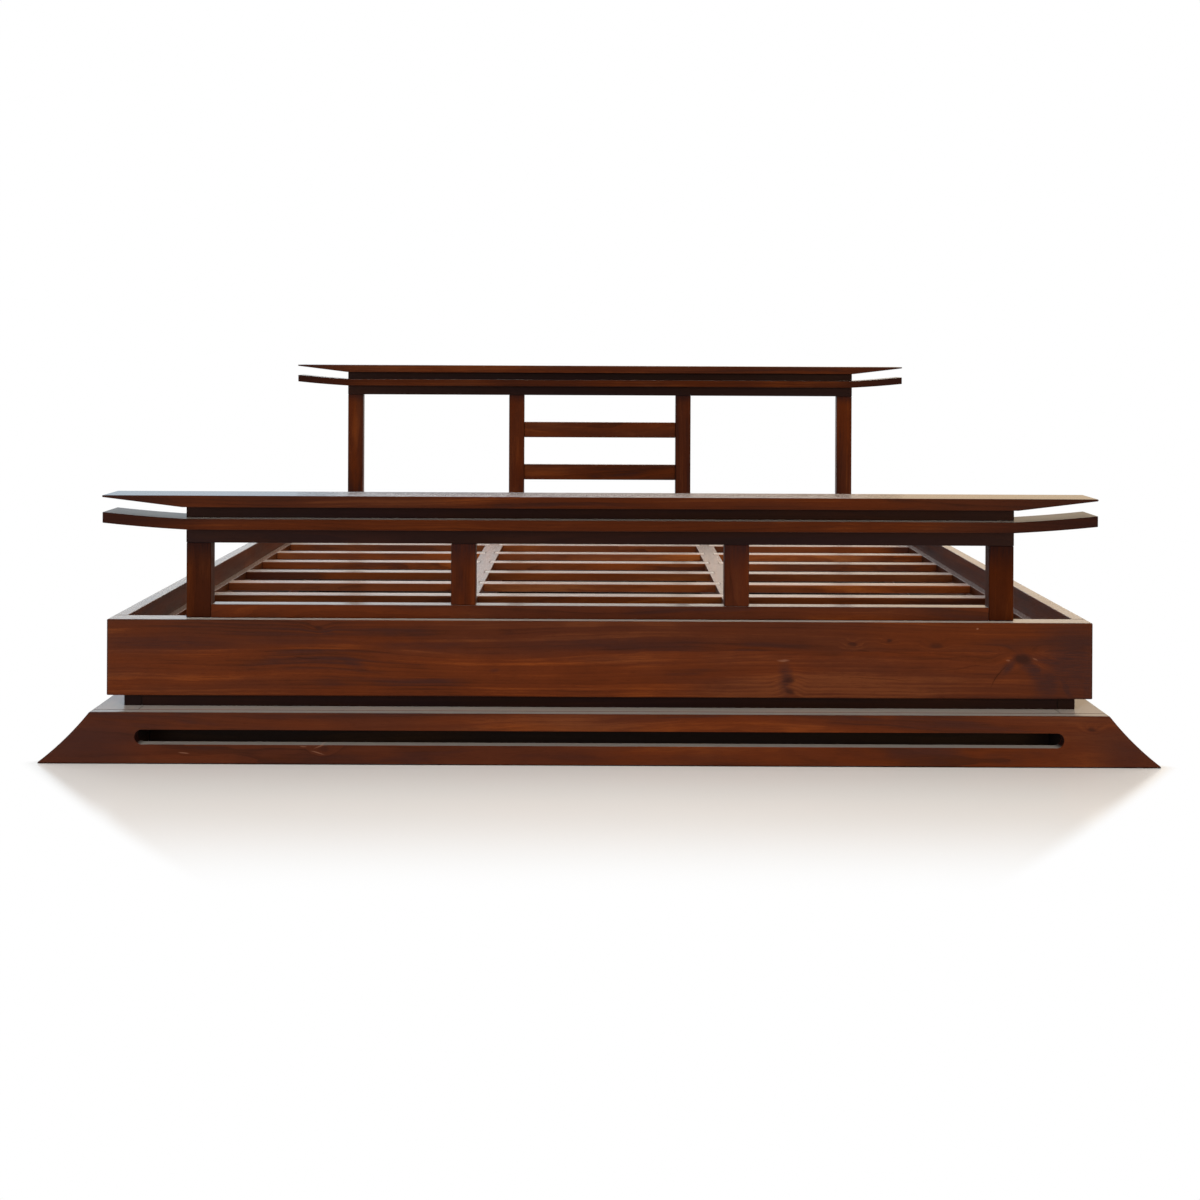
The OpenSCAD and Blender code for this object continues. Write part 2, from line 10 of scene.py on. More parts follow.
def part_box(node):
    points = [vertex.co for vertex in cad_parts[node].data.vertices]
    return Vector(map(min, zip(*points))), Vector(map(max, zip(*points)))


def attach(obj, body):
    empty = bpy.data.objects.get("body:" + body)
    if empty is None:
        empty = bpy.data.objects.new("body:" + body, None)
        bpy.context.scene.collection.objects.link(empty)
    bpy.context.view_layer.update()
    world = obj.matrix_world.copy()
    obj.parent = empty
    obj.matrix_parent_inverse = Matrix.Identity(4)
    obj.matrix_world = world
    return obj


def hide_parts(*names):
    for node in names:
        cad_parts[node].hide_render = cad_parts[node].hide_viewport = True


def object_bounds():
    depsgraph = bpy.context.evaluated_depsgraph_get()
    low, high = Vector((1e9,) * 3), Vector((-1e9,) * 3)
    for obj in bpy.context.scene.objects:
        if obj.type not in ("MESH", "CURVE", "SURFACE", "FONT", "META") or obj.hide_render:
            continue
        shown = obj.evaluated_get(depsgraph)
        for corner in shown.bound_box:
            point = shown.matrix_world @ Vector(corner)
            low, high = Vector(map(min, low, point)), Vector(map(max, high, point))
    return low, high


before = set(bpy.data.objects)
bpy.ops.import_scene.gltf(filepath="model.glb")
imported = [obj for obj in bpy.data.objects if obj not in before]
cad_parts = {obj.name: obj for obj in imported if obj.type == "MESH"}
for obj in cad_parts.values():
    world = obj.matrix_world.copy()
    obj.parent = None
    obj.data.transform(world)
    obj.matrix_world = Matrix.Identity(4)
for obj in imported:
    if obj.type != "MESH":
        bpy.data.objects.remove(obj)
cad_low, cad_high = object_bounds()
scene = bpy.context.scene

# Camera: straight on from the foot end, tilted a quarter of a degree to one side, with the horizon
# above the middle of the frame
CAMERA_PLACE = (-0.0043, -4.2954, 0.8371)
CAMERA_ROLL = math.radians(0.25)
FRAME_PX = 1200
FOCAL_PX = 1570.4
AXIS_PX = (598.9, 353.1)
SENSOR_MM = 36

# Room: cool on the left and warm on the right, going over within a turn to each side of its middle.
# Shiny surfaces mirror it a little cooler on the left.
ROOM_LIGHT = 0.50
SIDE_TURN = 0.26
COOL_ROOM = (0.90, 0.96, 1.0, 1)
COOL_MIRRORED = (0.74, 0.88, 1.0, 1)
WARM_ROOM = (1.0, 0.77, 0.52, 1)
WHITE = (1, 1, 1, 1)

# Lamps: a wide soft one overhead, two soft ones in front and one behind
Lamp = namedtuple("Lamp", "name place aim size watts colour")
LAMPS = (
    Lamp("overhead", (0, -0.9, 3.1), (0, -0.4, 0), (3.2, 2.8), 74, (1.0, 0.99, 0.98)),
    Lamp("front left", (-2.6, -5.4, 1.3), (-0.3, 0, 0.3), (2.0, 1.8), 60, (0.92, 0.97, 1.0)),
    Lamp("front right", (2.6, -5.4, 1.3), (0.3, 0, 0.3), (2.0, 1.8), 64, (1.0, 0.86, 0.60)),
    Lamp("rear", (0, 4.4, 2.2), (0, 0, 0.4), (3.0, 1.6), 36, (1.0, 0.98, 0.96)),
)

# Floor: pale and slightly shiny, going over to white with the distance from the bed's outline.
# Beside the bed it does so faster, and the shadow past the ends narrows with the distance.
FLOOR_HALF = 30
FLOOR_TINTS = ((0.86, 0.845, 0.835, 1), (0.88, 0.87, 0.86, 1))
FLOOR_ROUGH = 0.16
FLOOR_ROUGH_SPREAD = 0.08
FADE_START = 0.26
FADE_END = 0.76
FADE_AT_BED = 0.08
SIDE_FADE = 9.0
SHADOW_NARROWS = 0.68
# Half width of that outline along the bed's sides, the stretch before each end over which it widens
# to the flared tips, and how far short of the tips it stays
BODY_HALF = 1.03
WIDENING = (-0.05, -0.01)
TIP_BARE = 0.045

# Rounding of the boards' edges, and what counts as an edge to round
SOFT_EDGE = 0.0022
FINE_EDGE = 0.0012
EDGE_STEPS = 3
WELD = 0.00001
FLAT = math.radians(0.4)
SHARP = math.radians(35)
LEAST_EDGE = 0.006
# How much of its normal points up on a face that counts as a level top
LEVEL = 0.85

# Fastenings, with facets round their heads, shanks and chamfers
SCREW_HEAD_D = 0.009
SCREW_SHANK_D = 0.0045
SCREW_HEAD_H = 0.00225
RECESS_W = 0.0046
RECESS_T = 0.0011
RECESS_DEPTH = 0.0016
RECESS_SUNK = 0.45
BOLT_SHANK_D = 0.008
BOLT_HEAD_AF = 0.013
BOLT_HEAD_H = 0.0055
CHAMFER_RADIUS = 0.62 * BOLT_HEAD_AF
CHAMFER_TOP = 0.82
CHAMFER_FOOT = 1.3
HEAD_FACETS = 24
SHANK_FACETS = 16
CHAMFER_FACETS = 36
LENGTH_DIGITS = 4
CUT = 0.0001

# Patterns: features to the metre along each axis, then how fine and how rough they are
Pattern = namedtuple("Pattern", "scale detail rough", defaults=(2.0, 0.5))
WANDER = Pattern((0.8, 2.2, 2.2))
RIPPLE = Pattern((6, 45, 45))
STREAKS = Pattern((1, 1, 1), 3.0, 0.6)
FIBRE = Pattern((16, 620, 620), 3.0, 0.65)
PORES = Pattern((55, 1900, 1900), 1.0)
MOTTLE = Pattern((3.5, 11, 11), 3.0, 0.6)
HUE = Pattern((2.3, 15, 15))
SMEAR = Pattern((30, 55, 55), 3.0)
STEEL_CLOUD = Pattern((420, 420, 420), 3.0)
STEEL_SCRATCH = Pattern((900, 5200, 900))
FLOOR_CLOUD = Pattern((1.3, 1.3, 1.3), 3.0)

# Wood's rings: their width, how far a board lies from the heart of the tree, and how they stray
RING_WIDTH = 0.0075
RING_SPREAD = (0.75, 1.3)
HEART_ACROSS = 0.05
HEART_BELOW = (0.05, 0.13)
ALONG_SHIFT = 40
WANDER_REACH = (0, 0.09, 0.09)
RIPPLE_REACH = (0, 0.006, 0.006)
LATE_WOOD = 2.2
RING_LEAST = 0.3
STREAK_COURSE = (1.1, 60.0, 9.0)

# Ranges over which each noise goes from nothing to its full strength
STREAK_RANGE = (0.30, 0.70)
FIBRE_RANGE = (0.25, 0.75)
PORE_RANGE = (0.60, 0.70)
MOTTLE_RANGE = (0.3, 0.7)
HUE_RANGE = (0.35, 0.65)

# Shares of the patterns in the wood's light and dark, the middle of its ramp, and its two hues
STREAK_SHARE = 0.50
RING_SHARE = 0.30
FIBRE_SHARE = 0.22
MOTTLE_SHARE = 0.38
MOTTLE_MIDDLE = 0.4
MID_SHADE = 0.48
WARM_HUE = (1.20, 1.10, 0.80, 1)
COOL_HUE = (0.82, 0.93, 1.25, 1)
TONE_SPREAD = (0.93, 1.07)

# Stain that took more deeply: in patches, in end grain and in sawn edges. Some boards are also darker towards
# their ends.
PATCH_STREAKS = 0.45
PATCH_MOTTLE = 0.55
PATCH_STAIN = 0.6
SOAKED_TONE = 0.6
END_GRAIN = 0.004
END_GRAIN_STAIN = 0.65
DARK_END = 0.28
SAWN_EDGE = 0.005

# Surface of the wood: what pores take from its colour and the painted shade on its rounded edges, what
# the patterns add to its roughness, its bump and the haze on level tops
PORE_DIM = 0.34
EDGE_PAINTED_SHADE = 0.12
FIBRE_ROUGH = 0.06
PORE_ROUGH = 0.12
MOTTLE_ROUGH = 0.08
GLOSSY = 1.5
DULL = 1.28
BLOOM_ROUGH = 0.35
BLOOM_TINT = (1.0, 0.96, 0.94, 1)
WOOD_BUMP = 0.30
WOOD_BUMP_HEIGHT = 0.00014
FIBRE_HEIGHT = 0.35
RING_HEIGHT = 0.25

# Steel of the fastenings
STEEL_TINTS = ((0.46, 0.46, 0.44, 1), (0.66, 0.64, 0.58, 1))
STEEL_TINT_RANGE = (0.35, 0.65)
STEEL_ROUGH = 0.18
STEEL_ROUGH_SPREAD = 0.3
STEEL_BUMP = 0.2
STEEL_BUMP_HEIGHT = 0.0001

# Polish is how much smoother the level tops are than the sides, and bloom the haze on them
Finish = namedtuple("Finish", "slot dark mid light stain gloss rough contrast bloom polish")
STAINED = Finish(slot="stained_wood", dark=(0.027, 0.0068, 0.0032), mid=(0.068, 0.0148, 0.0053),
                 light=(0.138, 0.0345, 0.0092), stain=(0.027, 0.0115, 0.0130), gloss=(0.50, 0.17, 0.08),
                 rough=0.42, contrast=0.95, bloom=0.45, polish=0.30)
# Near black for the recessed risers, upper rails and cap spacers: partly a dark stain of their own and partly
# painted shade under the overhangs
DARK = Finish(slot="dark_stained_wood", dark=(0.0045, 0.0023, 0.0027), mid=(0.0100, 0.0037, 0.0036),
              light=(0.0190, 0.0062, 0.0046), stain=(0.007, 0.0044, 0.0044), gloss=(0.22, 0.12, 0.095),
              rough=0.36, contrast=0.8, bloom=0.0, polish=0.30)
SLAT = Finish(slot="slat_wood", dark=(0.054, 0.0130, 0.0050), mid=(0.132, 0.0330, 0.0095),
              light=(0.240, 0.0720, 0.0180), stain=(0.060, 0.0220, 0.0170), gloss=(0.60, 0.22, 0.10),
              rough=0.36, contrast=1.1, bloom=0.90, polish=0.60)
# Near black for the inner pieces, painted shade for the dark they stand in inside the plinth and under the
# deck
INNER = Finish(slot="inner_wood", dark=(0.006, 0.0032, 0.0030), mid=(0.012, 0.0056, 0.0045),
               light=(0.022, 0.0100, 0.0065), stain=(0.008, 0.0045, 0.0045), gloss=(0.3, 0.25, 0.2),
               rough=0.62, contrast=1.0, bloom=0.0, polish=0.60)
DOWEL = Finish(slot="dowel_wood", dark=(0.30, 0.18, 0.09), mid=(0.46, 0.31, 0.17), light=(0.60, 0.43, 0.26),
               stain=(0.36, 0.22, 0.12), gloss=(1.0, 1.0, 1.0), rough=0.58, contrast=0.7, bloom=0.0,
               polish=1.0)

# How one board differs from others of its finish. Dark edges are the sawn edges of its faces, dull
# ends have a rougher surface, and the wood above a glue line has a figure of its own.
Look = namedtuple("Look", "tone bloom index dark_ends dull_ends dark_edges knots smudges cracks scuffs "
                          "glue_line", defaults=(1.0, None, GLOSSY, 0.0, 0.0, 0.0, (), (), (), (), None))

# Knots and marks: place along and across the board from its middle, half sizes and turn in degrees.
# A mark bends by its sag from its middle to its ends.
Knot = namedtuple("Knot", "along across size dark")
Mark = namedtuple("Mark", "along across half_along half_across strength turn sag", defaults=(0, 0))
FRONT_RAIL_KNOTS = (
    Knot(-0.576, 0.063, 0.008, 0.7), Knot(0.389, -0.064, 0.008, 0.8), Knot(0.389, -0.041, 0.010, 0.7),
    Knot(0.516, 0.032, 0.008, 0.7), Knot(0.595, 0.040, 0.006, 0.75), Knot(0.687, 0.031, 0.009, 0.6),
    Knot(0.866, 0.004, 0.016, 0.95),
)
FRONT_RAIL_SMUDGES = (
    Mark(-0.900, 0.028, 0.190, 0.020, 0.70), Mark(-0.600, 0.034, 0.150, 0.012, 0.40),
    Mark(-0.360, 0.026, 0.130, 0.011, 0.60), Mark(0.020, 0.030, 0.240, 0.016, 0.65),
    Mark(-0.505, -0.010, 0.034, 0.012, 0.60, -28), Mark(-0.560, 0.055, 0.020, 0.010, 0.45, -35),
    Mark(0.380, -0.040, 0.016, 0.040, 0.80), Mark(0.888, -0.018, 0.050, 0.018, 1.00, -48),
    Mark(0.918, -0.046, 0.036, 0.038, 1.00), Mark(0.946, -0.006, 0.075, 0.015, 1.00, -8, 0.004),
    Mark(0.954, -0.054, 0.036, 0.009, 1.00, -56), Mark(0.978, 0.034, 0.066, 0.022, 1.00, 6),
    Mark(1.000, -0.030, 0.022, 0.090, 0.85), Mark(-0.215, -0.024, 0.012, 0.004, 0.50),
    Mark(0.838, -0.012, 0.024, 0.010, 0.90, 48), Mark(0.970, 0.000, 0.074, 0.095, 0.92),
)
FRONT_RAIL_CRACKS = (
    Mark(-0.600, -0.001, 0.040, 0.0016, 0.80, -4, 0.006), Mark(-0.484, -0.025, 0.014, 0.0014, 0.75, -3),
    Mark(0.541, 0.019, 0.018, 0.0014, 0.70, -6), Mark(0.566, -0.037, 0.080, 0.0014, 0.50, -3, -0.003),
    Mark(0.815, -0.030, 0.036, 0.0018, 0.85, 54, -0.006), Mark(-0.330, -0.055, 0.060, 0.0012, 0.45),
    Mark(0.700, 0.004, 0.110, 0.0014, 0.45, 3, 0.004), Mark(0.735, -0.016, 0.070, 0.0014, 0.45, 8, 0.005),
)
FRONT_RAIL_SCUFFS = (
    Mark(0.376, -0.001, 0.014, 0.003, 0.45), Mark(0.773, 0.066, 0.003, 0.002, 0.80),
    Mark(0.836, 0.001, 0.005, 0.002, 0.40), Mark(0.892, 0.004, 0.007, 0.0016, 0.35, -20),
)
FRONT_BASE_KNOTS = (Knot(-0.557, -0.018, 0.009, 0.5), Knot(0.999, 0.026, 0.008, 0.7))
FRONT_BASE_SMUDGES = (
    Mark(-1.030, -0.010, 0.110, 0.050, 0.60), Mark(1.060, -0.020, 0.070, 0.040, 0.45),
    Mark(0.700, 0.032, 0.110, 0.010, 0.45), Mark(0.180, -0.034, 0.200, 0.007, 0.15),
)
FRONT_BASE_SCUFFS = (
    Mark(-0.843, -0.030, 0.012, 0.0016, 0.55, -8), Mark(-0.560, -0.012, 0.020, 0.0016, 0.55, 25),
    Mark(-0.600, -0.016, 0.008, 0.0014, 0.55), Mark(-0.570, -0.028, 0.016, 0.0014, 0.50, -14),
)
REAR_RAIL_KNOTS = (Knot(-0.42, 0.030, 0.014, 0.7), Knot(0.71, -0.035, 0.020, 0.7))
SIDE_RAIL_KNOTS = (Knot(0.33, -0.020, 0.016, 0.7),)

# Form of the marks: shape of a knot, distances over which knots and marks fade, how far their edges
# stray, and how dark they are against their finish
KNOT_LENGTH = 1.8
KNOT_PUSH = (0.2, 2.6)
KNOT_HEART = (0.25, 0.95)
SMUDGE_FADE = (0.1, 1.3)
CRACK_FADE = (0.2, 1.1)
SCUFF_FADE = (0.3, 1.2)
SMUDGE_REACH = (0.020, 0.012, 0)
FINE_REACH = (0.008, 0.005, 0)
SMUDGE_FIBRES = (0.0, 0.9, 0.55, 1.25)
SMUDGE_TONE = 0.78
KNOT_TONE = 0.40
CRACK_TONE = 0.40
SCUFF_COLOUR = (0.26, 0.12, 0.075, 1)

# Glue lines of the rails, how the wood above one differs, and how each slat differs from the next.
# The slat darkened as painted shadow of the footboard is counted from 0 at the foot end.
FRONT_GLUE_LINE = 0.018
REAR_GLUE_LINE = -0.022
SIDE_GLUE_LINE = 0.010
GLUED_JUMP = (3.7, 0.06, 0.02)
GLUED_DIM = 0.12
SLAT_JUMP = (2.3, 0.013, 0.009)
SLAT_LEAST = 0.70
SLAT_SPREAD = 0.60
FOOTBOARD_SHADOW_SLAT = 2.0
FOOTBOARD_SHADOW_TONE = 0.5

# Hazy bloom that the level tops of single pieces show at a low angle
DECK_BLOOM = 0.8
RAIL_BLOOM = 0.8
LEDGER_BLOOM = 0.30
BEAM_BLOOM = 0.34
LOWER_CAP_BLOOM = 0.2
UPPER_CAP_BLOOM = 0.0

# Tones of single pieces against their finish
# The front base board is lighter as painted light, the bounce from the floor
FRONT_BASE_TONE = 1.06
# The ledgers are darker, partly their own dark wood and partly painted shade under the slats
LEDGER_TONE = 0.42
BEAM_TONE = 0.70
# The beams' sides are darker than their tops as painted shade under the slats
BEAM_SIDE_SHADE_TONE = 0.42
# The footboard's outer posts are darker as painted shade under the cap's overhang
OUTER_POST_TONE = {"foot": 0.56, "head": 0.93}
INNER_POST_TONE = 0.95
LOWER_CAP_TONE = 0.62
UPPER_CAP_TONE = 0.68
RUNG_TONE = 0.84

# Dark ends and edges, the dull arms of the lower caps, and the painted shade on the posts below the rails
BASE_ENDS = 0.5
BASE_EDGES = 0.9
CAP_ENDS = 0.8
CAP_DULL_ENDS = 0.22
POST_SHADE = {"foot": 0.058, "head": 0.036}
POST_SHADE_STRENGTH = 0.9


# Node helpers
def put(tree, kind, **settings):
    made = tree.nodes.new(kind)
    for key, value in settings.items():
        setattr(made, key, value)
    return made


def feed(tree, value, socket):
    if isinstance(value, bpy.types.NodeSocket):
        tree.links.new(value, socket)
    else:
        socket.default_value = value


def fed(tree, kind, inputs, **settings):
    """First output of a new node whose inputs are fed by name or number."""
    made = put(tree, kind, **settings)
    for name, value in inputs.items():
        feed(tree, value, made.inputs[name])
    return made.outputs[0]


def calc(tree, operation, *values, clamp=False):
    return fed(tree, "ShaderNodeMath", dict(enumerate(values)), operation=operation, use_clamp=clamp)


def vector_calc(tree, operation, *values):
    made = put(tree, "ShaderNodeVectorMath", operation=operation)
    for value, socket in zip(values, made.inputs):
        feed(tree, value, socket)
    return made.outputs["Value" if operation == "LENGTH" else "Vector"]


def scaled(tree, vector, factor):
    return fed(tree, "ShaderNodeVectorMath", {0: vector, "Scale": factor}, operation="SCALE")


def axis_of(tree, vector, axis):
    parts = put(tree, "ShaderNodeSeparateXYZ")
    feed(tree, vector, parts.inputs[0])
    return parts.outputs[axis]


def xyz(tree, x=0.0, y=0.0, z=0.0):
    return fed(tree, "ShaderNodeCombineXYZ", {0: x, 1: y, 2: z})


def ease(tree, value, start, end, low=0.0, high=1.0):
    """Goes smoothly from low at start to high at end."""
    inputs = dict(enumerate((value, start, end, low, high)))
    return fed(tree, "ShaderNodeMapRange", inputs, interpolation_type="SMOOTHSTEP")


def blend_colours(tree, share, a, b, mode="MIX"):
    made = put(tree, "ShaderNodeMix", data_type="RGBA", blend_type=mode, clamp_factor=True)
    for given, socket in zip((share, a, b), (made.inputs[0], made.inputs[6], made.inputs[7])):
        feed(tree, given, socket)
    return made.outputs[2]


def noise(tree, place, pattern):
    """Noise whose features are stretched along the axes."""
    made = put(tree, "ShaderNodeTexNoise")
    feed(tree, vector_calc(tree, "MULTIPLY", place, pattern.scale), made.inputs["Vector"])
    made.inputs["Scale"].default_value = 1.0
    made.inputs["Detail"].default_value = pattern.detail
    made.inputs["Roughness"].default_value = pattern.rough
    return made


def centred_noise(tree, place, pattern):
    """Noise from -0.5 to 0.5 along each axis."""
    return vector_calc(tree, "SUBTRACT", noise(tree, place, pattern).outputs["Color"], (0.5, 0.5, 0.5))


def nudged(tree, place, stray, reach):
    return vector_calc(tree, "ADD", place, vector_calc(tree, "MULTIPLY", stray, reach))


def bumped(tree, height, strength, distance):
    return fed(tree, "ShaderNodeBump", {"Strength": strength, "Distance": distance, "Height": height})


def mixed_shaders(tree, share, a, b):
    return fed(tree, "ShaderNodeMixShader", {0: share, 1: a, 2: b})


def seen_directly(tree):
    """1 where the eye sees a surface, straight or by way of a mirror or a glass."""
    path = put(tree, "ShaderNodeLightPath")
    shown = calc(tree, "MAXIMUM", path.outputs["Is Camera Ray"], path.outputs["Is Glossy Ray"])
    return calc(tree, "MAXIMUM", shown, path.outputs["Is Transmission Ray"])


def empty_material(name):
    made = bpy.data.materials.new(name)
    made.use_nodes = True
    made.node_tree.nodes.clear()
    return made


def rgba(colour, gain=1.0):
    return tuple(min(1.0, c * gain) for c in colour) + (1.0,)


# Wood: one group gives the figure of a board that was sawn from a tree with rings
Grain = namedtuple("Grain", "rings streaks fibre pores mottle")


def wood_figure():
    tree = bpy.data.node_groups.new("wood figure", "ShaderNodeTree")
    sockets = tree.interface
    sockets.new_socket(name="Place", in_out="INPUT", socket_type="NodeSocketVector")
    sockets.new_socket(name="Ring width", in_out="INPUT", socket_type="NodeSocketFloat")
    sockets.new_socket(name="Lift", in_out="INPUT", socket_type="NodeSocketFloat")
    for name in Grain._fields:
        sockets.new_socket(name=name, in_out="OUTPUT", socket_type="NodeSocketFloat")
    given = put(tree, "NodeGroupInput")
    made = put(tree, "NodeGroupOutput")
    place = given.outputs["Place"]

    # The tree's rings wander slowly along the trunk and ripple a little. Each ring is darkest at its
    # end, the late wood, and has a strength of its own.
    bent = nudged(tree, place, centred_noise(tree, place, WANDER), WANDER_REACH)
    bent = nudged(tree, bent, centred_noise(tree, place, RIPPLE), RIPPLE_REACH)
    from_heart = vector_calc(tree, "LENGTH", vector_calc(tree, "MULTIPLY", bent, (0, 1, 1)))
    radius = calc(tree, "ADD", from_heart, given.outputs["Lift"])
    rings = calc(tree, "DIVIDE", radius, given.outputs["Ring width"])
    late = calc(tree, "POWER", calc(tree, "FRACT", rings), LATE_WOOD)
    number = put(tree, "ShaderNodeTexWhiteNoise", noise_dimensions="1D")
    feed(tree, calc(tree, "FLOOR", rings), number.inputs["W"])
    weight = calc(tree, "MULTIPLY_ADD", number.outputs["Value"], 1 - RING_LEAST, RING_LEAST)
    feed(tree, calc(tree, "MULTIPLY", late, weight), made.inputs["rings"])

    # Streaks follow the rings' own course, and fibres and pores run along the grain
    along, around, across = STREAK_COURSE
    course = xyz(tree, calc(tree, "MULTIPLY", axis_of(tree, place, 0), along),
                 calc(tree, "MULTIPLY", radius, around),
                 calc(tree, "MULTIPLY", axis_of(tree, place, 1), across))
    for name, where, pattern, span in (
            ("streaks", course, STREAKS, STREAK_RANGE), ("fibre", bent, FIBRE, FIBRE_RANGE),
            ("pores", bent, PORES, PORE_RANGE), ("mottle", place, MOTTLE, MOTTLE_RANGE)):
        feed(tree, ease(tree, noise(tree, where, pattern).outputs[0], *span), made.inputs[name])
    return tree


def board_place(tree, axes, centre):
    """Object coordinates from the board's middle, in the order along, across, through."""
    place = put(tree, "ShaderNodeTexCoord").outputs["Object"]
    middle = vector_calc(tree, "SUBTRACT", place, tuple(centre))
    parts = put(tree, "ShaderNodeSeparateXYZ")
    feed(tree, middle, parts.inputs[0])
    return xyz(tree, *(parts.outputs["XYZ".index(axis)] for axis in axes))


def above_glue_line(tree, place, grain_place, glue_line):
    """Grain and tone of another piece of wood above the glue line."""
    upper = calc(tree, "GREATER_THAN", axis_of(tree, place, 1), glue_line)
    grain_place = vector_calc(tree, "ADD", grain_place, scaled(tree, GLUED_JUMP, upper))
    return grain_place, calc(tree, "MULTIPLY_ADD", upper, -GLUED_DIM, 1.0)


def slat_by_slat(tree, grain_place):
    """Grain and tone of each slat's own, by the number that the slats' tree gave it. One slat near the foot
    end is darkened as painted shadow of the footboard.
    """
    number = put(tree, "ShaderNodeAttribute", attribute_name="number").outputs["Fac"]
    grain_place = vector_calc(tree, "ADD", grain_place, scaled(tree, SLAT_JUMP, number))
    dice = put(tree, "ShaderNodeTexWhiteNoise", noise_dimensions="1D")
    feed(tree, number, dice.inputs["W"])
    gain = calc(tree, "MULTIPLY_ADD", dice.outputs["Value"], SLAT_SPREAD, SLAT_LEAST)
    apart = calc(tree, "ABSOLUTE", calc(tree, "SUBTRACT", number, FOOTBOARD_SHADOW_SLAT))
    return grain_place, calc(tree, "MULTIPLY", gain, ease(tree, apart, 0.0, 1.0, FOOTBOARD_SHADOW_TONE, 1.0))


def knots_at(tree, place, knots):
    """How far the knots push the rings aside, and how dark their hearts are."""
    lift = 0.0
    hearts = 0.0
    for knot in knots:
        away = vector_calc(tree, "SUBTRACT", place, (knot.along, knot.across, 0))
        sized = vector_calc(tree, "MULTIPLY", away, (1 / (knot.size * KNOT_LENGTH), 1 / knot.size, 0))
        away = vector_calc(tree, "LENGTH", sized)
        lift = calc(tree, "ADD", ease(tree, away, *KNOT_PUSH, knot.size, 0.0), lift)
        hearts = calc(tree, "MAXIMUM", ease(tree, away, *KNOT_HEART, knot.dark, 0.0), hearts)
    return lift, hearts


def mark_distance(tree, place, mark):
    """1 at the edge of the mark's ellipse, which is turned on the face and bent to one side."""
    away = vector_calc(tree, "SUBTRACT", place, (mark.along, mark.across, 0))
    turned = put(tree, "ShaderNodeVectorRotate", rotation_type="Z_AXIS")
    feed(tree, away, turned.inputs["Vector"])
    turned.inputs["Angle"].default_value = -math.radians(mark.turn)
    sized = vector_calc(tree, "MULTIPLY", turned.outputs[0], (1 / mark.half_along, 1 / mark.half_across, 0))
    along = axis_of(tree, sized, 0)
    bend = calc(tree, "MULTIPLY", calc(tree, "MULTIPLY", along, along), mark.sag / mark.half_across)
    across = calc(tree, "SUBTRACT", axis_of(tree, sized, 1), bend)
    return vector_calc(tree, "LENGTH", xyz(tree, along, across))


def marked(tree, place, marks, fade):
    """How strongly any of the marks shows at a place."""
    seen = 0.0
    for mark in marks:
        away = mark_distance(tree, place, mark)
        seen = calc(tree, "MAXIMUM", ease(tree, away, *fade, mark.strength, 0.0), seen)
    return seen


def grain_colour(tree, grain, grain_place, finish, tone):
    """Light and dark of the grain, and broad changes of hue between orange and purple brown."""
    contrast = finish.contrast
    streak_share = STREAK_SHARE * contrast
    shade = calc(tree, "MULTIPLY_ADD", grain.streaks, streak_share, 0.5 - streak_share / 2)
    shade = calc(tree, "MULTIPLY_ADD", grain.rings, -RING_SHARE * contrast, shade)
    fibre = calc(tree, "SUBTRACT", grain.fibre, 0.5)
    shade = calc(tree, "MULTIPLY_ADD", fibre, FIBRE_SHARE * contrast, shade)
    mottle = calc(tree, "SUBTRACT", grain.mottle, MOTTLE_MIDDLE)
    shade = calc(tree, "MULTIPLY_ADD", mottle, MOTTLE_SHARE, shade, clamp=True)
    ramp = put(tree, "ShaderNodeValToRGB")
    ramp.color_ramp.interpolation = "EASE"
    ramp.color_ramp.elements[0].color = rgba(finish.dark, tone)
    ramp.color_ramp.elements[1].color = rgba(finish.light, tone)
    ramp.color_ramp.elements.new(MID_SHADE).color = rgba(finish.mid, tone)
    feed(tree, shade, ramp.inputs[0])
    hue = noise(tree, grain_place, HUE).outputs[0]
    warm, cool = (blend_colours(tree, 1.0, ramp.outputs[0], tint, "MULTIPLY")
                  for tint in (WARM_HUE, COOL_HUE))
    return blend_colours(tree, ease(tree, hue, *HUE_RANGE), cool, warm)


def soaked_colour(tree, colour, grain, from_middle, half_length, half_thickness, finish, tone, look):
    """The colour with the stain that took more deeply in some places, and darker towards the ends where the
    look asks for it.
    """
    streaks = ease(tree, grain.streaks, PATCH_STREAKS, 0.0)
    patches = calc(tree, "MULTIPLY", streaks, ease(tree, grain.mottle, PATCH_MOTTLE, 0.0))
    patches = calc(tree, "MULTIPLY", patches, PATCH_STAIN)
    colour = blend_colours(tree, patches, colour, rgba(finish.stain, tone))
    along = axis_of(tree, from_middle, 0)
    soaked = ease(tree, along, half_length - END_GRAIN, half_length - END_GRAIN / 4, 0.0, END_GRAIN_STAIN)
    if look.dark_ends:
        near_end = ease(tree, along, half_length - DARK_END, half_length, 0.0, look.dark_ends)
        soaked = calc(tree, "MAXIMUM", soaked, near_end)
    if look.dark_edges:
        depth = calc(tree, "SUBTRACT", half_thickness, axis_of(tree, from_middle, 2))
        sawn = ease(tree, depth, SAWN_EDGE / 2, SAWN_EDGE, 0.0, look.dark_edges)
        soaked = calc(tree, "MAXIMUM", soaked, sawn)
    return blend_colours(tree, soaked, colour, rgba(finish.stain, tone * SOAKED_TONE))


